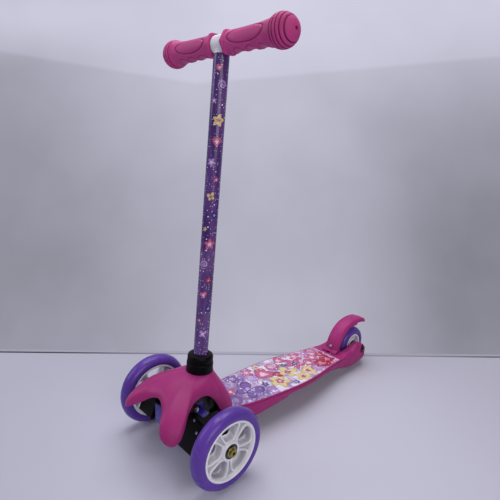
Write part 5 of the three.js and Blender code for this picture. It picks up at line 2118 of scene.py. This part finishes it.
    def kingpin(self, side: Side) -> None:
        """The kingpin with its flanged hexagon head, its nut and the rubber bush round it.

        Args:
            side: Which side's kingpin.
        """
        centre, axis = self.layout.on_kingpin(side, 0.0, 0.0, 0.0), self.layout.kingpin_axis
        top, tip = 24.8, -33.6
        shank = [(0.0, tip), (3.2, tip), (4.0, tip + 0.9), (4.0, top), (7.6, top), (8.0, top + 0.4),
                 (7.7, top + 1.2), (6.6, top + 1.6), (0.0, top + 1.6)]
        crown = [(0.0, top), (7.6, top), (7.6, top + 4.4), (5.6, top + 5.5), (0.0, top + 5.5)]
        bush = [(4.6, -14.5), (8.4, -14.5), (9.2, -13.8), (9.5, -12.6), (9.0, -11.7), (9.5, -10.8),
                (9.2, -9.4), (8.4, -8.8), (4.6, -8.8)]
        body = turned(f"kingpin_{side.word}_plated", shank, centre, axis, 48)
        flats = [self.layout.on_kingpin(side, x, y, top + 0.8) for x, y in hexagon(12.0)]
        head = prism("head", flats, axis * 4.7 * MM)
        combine(head, Joining.KEEP, turned("crown", crown, centre, axis, 48))
        combine(body, Joining.UNITE, head)
        self.finished(body, STEEL, angle=30.0)
        self.finished(reworked_node(f"kingpin_nut_{side.word}", 0.4), STEEL)
        self.finished(turned(f"centring_bush_{side.word}_rubber", bush, centre, axis, 48), BLACK_RUBBER)

# Brake

@dataclass
class Brake(Assembly):
    """The sprung fender over the rear wheel, its pivot pin, spring and screw."""

    half: float = 16.0
    neck_half: float = 16.4
    pivot: Point = (376.0, 35.5)
    rows: int = 70

    def build(self) -> None:
        """Makes and dresses the brake."""
        self.fender()
        self.screw()
        self.palette.redress(STEEL, "brake_pin", "brake_spring")

    def section(self, share: float) -> list[Point]:
        """The fender's closed section.

        Args:
            share: The share of its path.

        Returns:
            Points across the fender and out from its path.
        """
        w = self.half
        skirt = 5.6 + 1.6 * bump(share - 0.35, 0.3)
        outer = [(-w, -skirt), (-w, -4.0), (-w + 0.3, -2.2), (-w + 1.2, -0.2), (-w + 2.4, 1.5), (-w + 3.6, 2.5),
                 (-w + 4.8, 2.75), (-w + 5.8, 2.0), (-w + 7.0, 2.15), (-6.4, 2.7), (-3.2, 3.3)]
        inner = [(w - 1.7, -skirt), (w - 2.3, -3.6), (w - 3.6, -1.6), (w - 6.2, -0.4)]
        mirrored = [[(-x, z) for x, z in reversed(part)] for part in (outer, inner)]
        return outer + [(0.0, 3.5)] + mirrored[0] + inner + [(0.0, 0.0)] + mirrored[1]

    def fender(self) -> None:
        """The crowned band from the foot to the tail, its neck and the pad ribs under it."""
        line = spline([(374.6, 47), (378, 57), (384, 70), (394, 82.5), (409, 93), (428, 98.5), (448, 99.5),
                       (464, 97.5), (477, 93.5)])
        count = len(self.section(0.0))

        def surface(turn: float, along: float) -> Vector:
            """The band's skin, narrower and lower at its tip.

            Args:
                turn: The share of a turn round the band.
                along: The share of its length.

            Returns:
                The point.
            """
            x, out = self.section(along)[round(turn * count) % count]
            ahead = line(min(along + 0.004, 1.0)) - line(max(along - 0.004, 0.0))
            tip = max((along - 0.9) / 0.1, 0.0)
            if out > 0.0:
                out -= 0.9 * tip**2
            place = line(along) + Vector((-ahead.y, ahead.x)).normalized() * out
            return self.layout.at(x * (1.0 - 0.06 * tip**3), place.x, place.y)

        body = skin("brake_fender_moulding", surface, count, self.rows, caps=True)
        y, z = self.pivot
        neck = [(y - 9, z - 8, 7), (y + 9, z - 8, 7), (y + 9, z + 14, 3), (y - 3, z + 14, 2), (y - 9, z + 9, 3)]
        spine = [(y - 2.5, z + 6, 0), (y + 9, z + 6, 0), (y + 13, z + 27, 3), (y + 2.5, z + 27, 2)]
        pad = [(y + 50, 84.5, 2), (y + 80, 84.5, 2), (y + 80, 100.5, 0), (y + 50, 100.5, 0)]
        for name, outline, wide in (("neck", neck, self.neck_half), ("spine", spine, 10.0), ("pad", pad, 9.0)):
            combine(body, Joining.UNITE, self.side_prism(name, outline, -wide, wide, 6))
        combine(body, Joining.CUT, cylinder(self.layout.at(0.0, y, z), ACROSS, 2.8, -60.0, 60.0, 32),
                box(self.layout.at(-6.0, y - 20, z - 10), self.layout.at(6.0, y + 20, z + 9)),
                cylinder(self.screw_place, self.screw_axis, 2.1, -14.0, 6.0, 32),
                cylinder(self.screw_place, self.screw_axis, 4.0, 1.2, 9.0, 32))
        self.finished(body, PINK_PLASTIC, "brake", 33.0)

    @property
    def screw_place(self) -> Vector:
        """Where the screw's axis meets the fender's foot."""
        return self.layout.at(0.0, self.pivot[0] - 1.5, self.pivot[1] + 19.0)

    @property
    def screw_axis(self) -> Vector:
        """The screw's direction, out of the fender."""
        return Matrix.Rotation(math.radians(68.0), 3, "X") @ UP

    def screw(self) -> None:
        """The pan-head screw with its cross recess."""
        outline = [(0.0, -9.0), (1.0, -8.6), (1.8, -7.6), (1.8, 1.6), (3.3, 1.6), (3.5, 1.9), (3.4, 2.6),
                   (2.8, 3.4), (1.8, 3.8), (0.0, 3.9)]
        body = turned("brake_screw_plated", outline, self.screw_place, self.screw_axis, 40)
        up = self.screw_axis.cross(ACROSS)
        for first, second in ((ACROSS, up), (up, ACROSS)):
            corners = [self.screw_place + (self.screw_axis * 2.6 + first * a + second * b) * MM for a, b in (
                (-2.0, -0.4), (2.0, -0.4), (2.0, 0.4), (-2.0, 0.4))]
            combine(body, Joining.CUT, prism("recess", corners, self.screw_axis * 4.0 * MM))
        self.finished(body, STEEL, "brake", 30.0)


# Studio

@dataclass
class Studio:
    """The lamps, the paper floor, the leaning sheet behind the scooter, and the camera."""

    layout: Layout
    focal: float = 30.34
    place: Corner = (479.57, -327.19, 474.27)
    yaw: float = -0.8145367
    pitch: float = 0.2496955
    roll: float = 0.0311105
    wall_foot: Corner = (-193.8, 262.5, 0.0)
    heading: float = math.radians(49.1)
    lean: float = math.radians(18.0)
    seam_gap: float = 0.013
    seam_half: Point = (0.0018, 0.0045)
    past_seam: float = 0.82
    floor_tone: float = 0.45
    floor_pools: tuple[tuple[float, ...], ...] = ((0.1, -0.35, 0.6, 0.6, 0.14),)
    wall_tone: float = 0.4
    wall_pools: tuple[tuple[float, ...], ...] = (
        (0.0, 0.9, 0.6, 0.9, 0.21), (0.6, 0.9, 0.6, 0.4, 0.18), (0.6, 0.2, 0.4, 0.6, -0.15),
        (-0.5, 0.2, 0.6, 0.6, -0.09), (-0.5, 0.8, 0.4, 0.15, 0.14), (0.05, 0.05, 0.5, 0.4, 0.09))
    fold_height: float = 0.635

    def build(self) -> None:
        """Sets the studio up."""
        bpy.context.scene.view_settings.view_transform = "Standard"
        self.camera()
        self.floor()
        self.wall()
        self.lamps()

    def directions(self) -> tuple[Vector, Vector, Vector]:
        """The camera's right, up and backward directions.

        Returns:
            Three unit vectors.
        """
        level = math.cos(self.pitch)
        forward = Vector((math.sin(self.yaw) * level, math.cos(self.yaw) * level, -math.sin(self.pitch)))
        right = Vector((math.cos(self.yaw), -math.sin(self.yaw), 0.0))
        up = right.cross(forward)
        turn, hold = math.sin(self.roll), math.cos(self.roll)
        return right * hold + up * turn, up * hold - right * turn, -forward

    def camera(self) -> None:
        """The camera, standing ahead of the scooter on its left."""
        data = bpy.data.cameras.new("camera")
        data.lens = self.focal
        data.sensor_width = 36.0
        data.clip_start = 0.01
        camera = bpy.data.objects.new("camera", data)
        bpy.context.scene.collection.objects.link(camera)
        turn = Matrix(self.directions()).transposed().to_4x4()
        camera.matrix_world = Matrix.Translation(self.layout.at(*self.place)) @ turn
        bpy.context.scene.camera = camera

    def floor(self) -> None:
        """The pale paper floor, which curves up far behind the scooter."""
        turn = Matrix.Rotation(-self.yaw, 3, "Z")
        flat, radius = 1.7, 0.5

        def surface(across: float, along: float) -> Vector:
            """A point of the paper, from its shares across and along it.

            Args:
                across: The share from its left edge to its right.
                along: The share from its foot to its top.

            Returns:
                The point.
            """
            reach, height = 14.0 * along - 6.0, 0.0
            past = reach - flat
            if past > 0.0:
                bend = min(past / radius, math.pi / 2)
                height = radius * (1.0 - math.cos(bend)) + max(past - radius * math.pi / 2, 0.0)
                reach = flat + radius * math.sin(bend)
            return turn @ Vector(((across - 0.5) * 16.0, reach, height))

        floor = skin("paper_sweep", surface, 16, 240)
        smooth(floor, 60.0)
        floor.data.materials.append(self.paper())

    def paper(self) -> Material:
        """The floor's pale lilac-grey paper.

        Returns:
            The material.
        """
        material, wiring, shader = new_material("paper")
        place = wiring.place()
        spot = self.on_floor(wiring, place)
        # A painted pool of light on the paper.
        tone = self.pools(wiring, spot, self.floor_tone, self.floor_pools)
        clouds = wiring.scale(wiring.noise(place, 1.2, 3.0), 0.3, 0.7, -0.01, 0.01)
        tone = wiring.maths("MULTIPLY", wiring.maths("ADD", tone, clouds), self.seam(wiring, spot))
        wiring.fill(shader, {
            "Base Color": self.lilac(wiring, tone), "Roughness": 0.9, "Specular IOR Level": 0.1,
            "Emission Color": linear("1c1c20"), "Emission Strength": self.seen(wiring)})
        return material

    def seam(self, wiring: Wiring, spot: Socket) -> Socket:
        """How much of its tone the floor keeps at the dark seam before the wall and past it; the seam's dark line is
        painted shade of the corner where the paper meets the wall.

        Args:
            wiring: The material's wiring.
            spot: The place along the wall's foot and in from it.

        Returns:
            The factor socket.
        """
        m = wiring.maths
        along, inward, _ = wiring.split(spot)
        past = m("ADD", inward, self.seam_gap)
        # Painted shade: a thin dark line a little in front of the wall's foot.
        line = wiring.scale(m("ABSOLUTE", past), *self.seam_half, 1.0, 0.0)
        depth = wiring.scale(m("ABSOLUTE", m("SUBTRACT", along, 0.15)), 0.2, 0.6, 0.3, 0.9)
        kept = m("SUBTRACT", 1.0, m("MULTIPLY", line, depth))
        return m("MULTIPLY", kept, wiring.scale(past, -0.001, 0.001, 1.0, self.past_seam))

    @property
    def along(self) -> Vector:
        """The direction of the wall's foot, to the right."""
        return Vector((math.cos(self.heading), math.sin(self.heading), 0.0))

    @property
    def away(self) -> Vector:
        """The level direction into the wall."""
        return Vector((-math.sin(self.heading), math.cos(self.heading), 0.0))

    @property
    def foot(self) -> Vector:
        """The wall's foot, straight ahead of the camera."""
        return self.layout.at(*self.wall_foot)

    def on_floor(self, wiring: Wiring, place: Socket) -> Socket:
        """A place as metres along the wall's foot and metres in from it.

        Args:
            wiring: The material's wiring.
            place: The place socket.

        Returns:
            The flat vector's socket.
        """
        parts = []
        for direction in (self.along, self.away):
            dot = wiring.vector("DOT_PRODUCT", place, direction).outputs["Value"]
            parts.append(wiring.maths("SUBTRACT", dot, direction.dot(self.foot)))
        return wiring.flat(*parts)

    @staticmethod
    def pools(wiring: Wiring, place: Socket, tone: float, spots: Sequence[tuple[float, ...]]) -> Socket:
        """An even tone with soft pools of light and shade.

        Args:
            wiring: The material's wiring.
            place: The place as a flat vector in metres.
            tone: The even tone.
            spots: Each pool's middle, half width, half height and gain.

        Returns:
            The tone socket.
        """
        for x, y, wide, tall, gain in spots:
            shift = wiring.vector("MULTIPLY_ADD", place, (1.0 / wide, 1.0 / tall, 0.0), (-x / wide, -y / tall, 0.0))
            length = wiring.vector("LENGTH", shift.outputs[0]).outputs["Value"]
            tone = wiring.maths("ADD", tone, wiring.scale(length, 0.0, 1.0, gain, 0.0))
        return tone

    @staticmethod
    def lilac(wiring: Wiring, tone: Socket) -> Socket:
        """A tone as a faintly lilac colour."""
        shares = {i: wiring.maths("MULTIPLY", tone, share) for i, share in enumerate((1.0, 0.985, 1.2))}
        return wiring.node("CombineColor", shares).outputs[0]

    @staticmethod
    def seen(wiring: Wiring) -> Socket:
        """1 for what the camera sees straight, in a gloss or through glass.

        Args:
            wiring: The material's wiring.

        Returns:
            The mask.
        """
        path = wiring.node("LightPath", {}).outputs
        rays = wiring.maths("MAXIMUM", path["Is Camera Ray"], path["Is Glossy Ray"])
        return wiring.maths("MAXIMUM", rays, path["Is Transmission Ray"])

    def wall(self) -> None:
        """A pale sheet that leans on the wall behind the scooter."""
        rise = self.away * math.sin(self.lean) + Vector((0.0, 0.0, math.cos(self.lean)))

        def surface(across: float, up: float) -> Vector:
            """A point of the sheet, from its shares across and up it."""
            return self.foot + self.along * (across - 0.5) * 8.0 + rise * up * 3.0

        sheet = skin("wall_sheet", surface, 8, 4)
        if sheet.data.polygons[0].normal.dot(self.away) > 0.0:
            sheet.data.flip_normals()
        sheet.data.materials.append(self.wall_paper())

    def wall_paper(self) -> Material:
        """The wall's paper: painted pools of light and shade and a painted fold, seen from its front alone.

        Returns:
            The material.
        """
        material, wiring, shader = new_material("wall_paper")
        wiring.tree.nodes.remove(shader)
        m = wiring.maths
        place = wiring.place()
        across = wiring.split(self.on_floor(wiring, place))[0]
        height = m("DIVIDE", wiring.split(place)[2], math.cos(self.lean))
        tone = self.pools(wiring, wiring.flat(across, height), self.wall_tone, self.wall_pools)
        tone = m("ADD", tone, wiring.scale(wiring.noise(place, 4.0, 3.0), 0.3, 0.7, -0.02, 0.02))
        # A painted fold: a little shade below a slanting line and a little light above it.
        slope = m("MULTIPLY", m("ABSOLUTE", m("ADD", across, 0.1)), 0.13)
        over = m("SUBTRACT", m("SUBTRACT", height, self.fold_height), slope)
        tone = m("ADD", tone, wiring.scale(over, -0.002, 0.012, -0.02, 0.04))
        glow = wiring.node("Emission", {"Color": self.lilac(wiring, tone)}).outputs[0]
        front = m("SUBTRACT", 1.0, wiring.node("NewGeometry", {}).outputs["Backfacing"])
        clear = wiring.node("BsdfTransparent", {}).outputs[0]
        blend = wiring.node("MixShader", {0: m("MULTIPLY", self.seen(wiring), front), 1: clear, 2: glow})
        wiring.fill(wiring.tree.nodes["Material Output"], {"Surface": blend.outputs[0]})
        return material

    @staticmethod
    def lamp(name: str, place: Vector, size: float, power: float, color: str) -> None:
        """A square soft lamp that faces the scooter's middle.

        Args:
            name: The lamp's name.
            place: Where it stands.
            size: Its side.
            power: Its power in watts.
            color: Its colour.
        """
        data = bpy.data.lights.new(name, "AREA")
        data.size, data.energy, data.color = size, power, linear(color)[:3]
        lamp = bpy.data.objects.new(name, data)
        bpy.context.scene.collection.objects.link(lamp)
        lamp.location = place
        lamp.rotation_euler = (place - UP * 0.25).to_track_quat("Z", "Y").to_euler()

    def lamps(self) -> None:
        """A broad lamp above, a softer one beside the camera and a dim surrounding light."""
        self.lamp("overhead", Vector((-0.4, 0.3, 2.2)), 1.8, 36.0, "ffffff")
        self.lamp("window", Vector((-1.6, -1.6, 1.5)), 1.4, 14.0, "f4f4ff")
        self.lamp("filler", Vector((1.9, -0.8, 1.2)), 1.5, 19.0, "fffaf6")
        world = bpy.data.worlds.new("surroundings")
        world.use_nodes = True
        background = world.node_tree.nodes["Background"]
        Wiring(world.node_tree).fill(background, {"Color": linear("dcdce2"), "Strength": 0.22})
        bpy.context.scene.world = world


# The whole scooter

def main() -> None:
    """Builds every sub-assembly around the frame."""
    logging.basicConfig(level=logging.INFO, format="%(message)s", stream=sys.stdout)
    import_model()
    layout = Layout.measured()
    palette = Palette(layout)
    Studio(layout).build()
    for side in Side:
        word = side.word
        Wheel(layout, palette, f"front_{word}", f"front_{word}_wheel", side.value).build()
        AxleBolt(layout, palette, f"front_{word}", f"steering_{word}", BRASS).build()
        Grip(layout, palette, side).build()
    Wheel(layout, palette, "rear", "rear_wheel", 1, radius=40.0, rim_radius=24.5, hub_radius=12.8,
          web_half=6.0, rib_half=0.0, rib_width=1.4, spoke_root=0.5, spoke_tip=2.0).build()
    AxleBolt(layout, palette, "rear", "frame", RECESS_SHADE_STEEL).build()
    FrontShell(layout, palette).build()
    Stem(layout, palette).build()
    Deck(layout, palette).build()
    SteeringGear(layout, palette).build()
    Brake(layout, palette).build()
    palette.redress(BLACK_PLASTIC, "rear_spacer_left", "rear_spacer_right")
    palette.redress(STEEL, "handlebar_tube")
    bpy.context.view_layer.update()


if __name__ == "__main__":
    main()
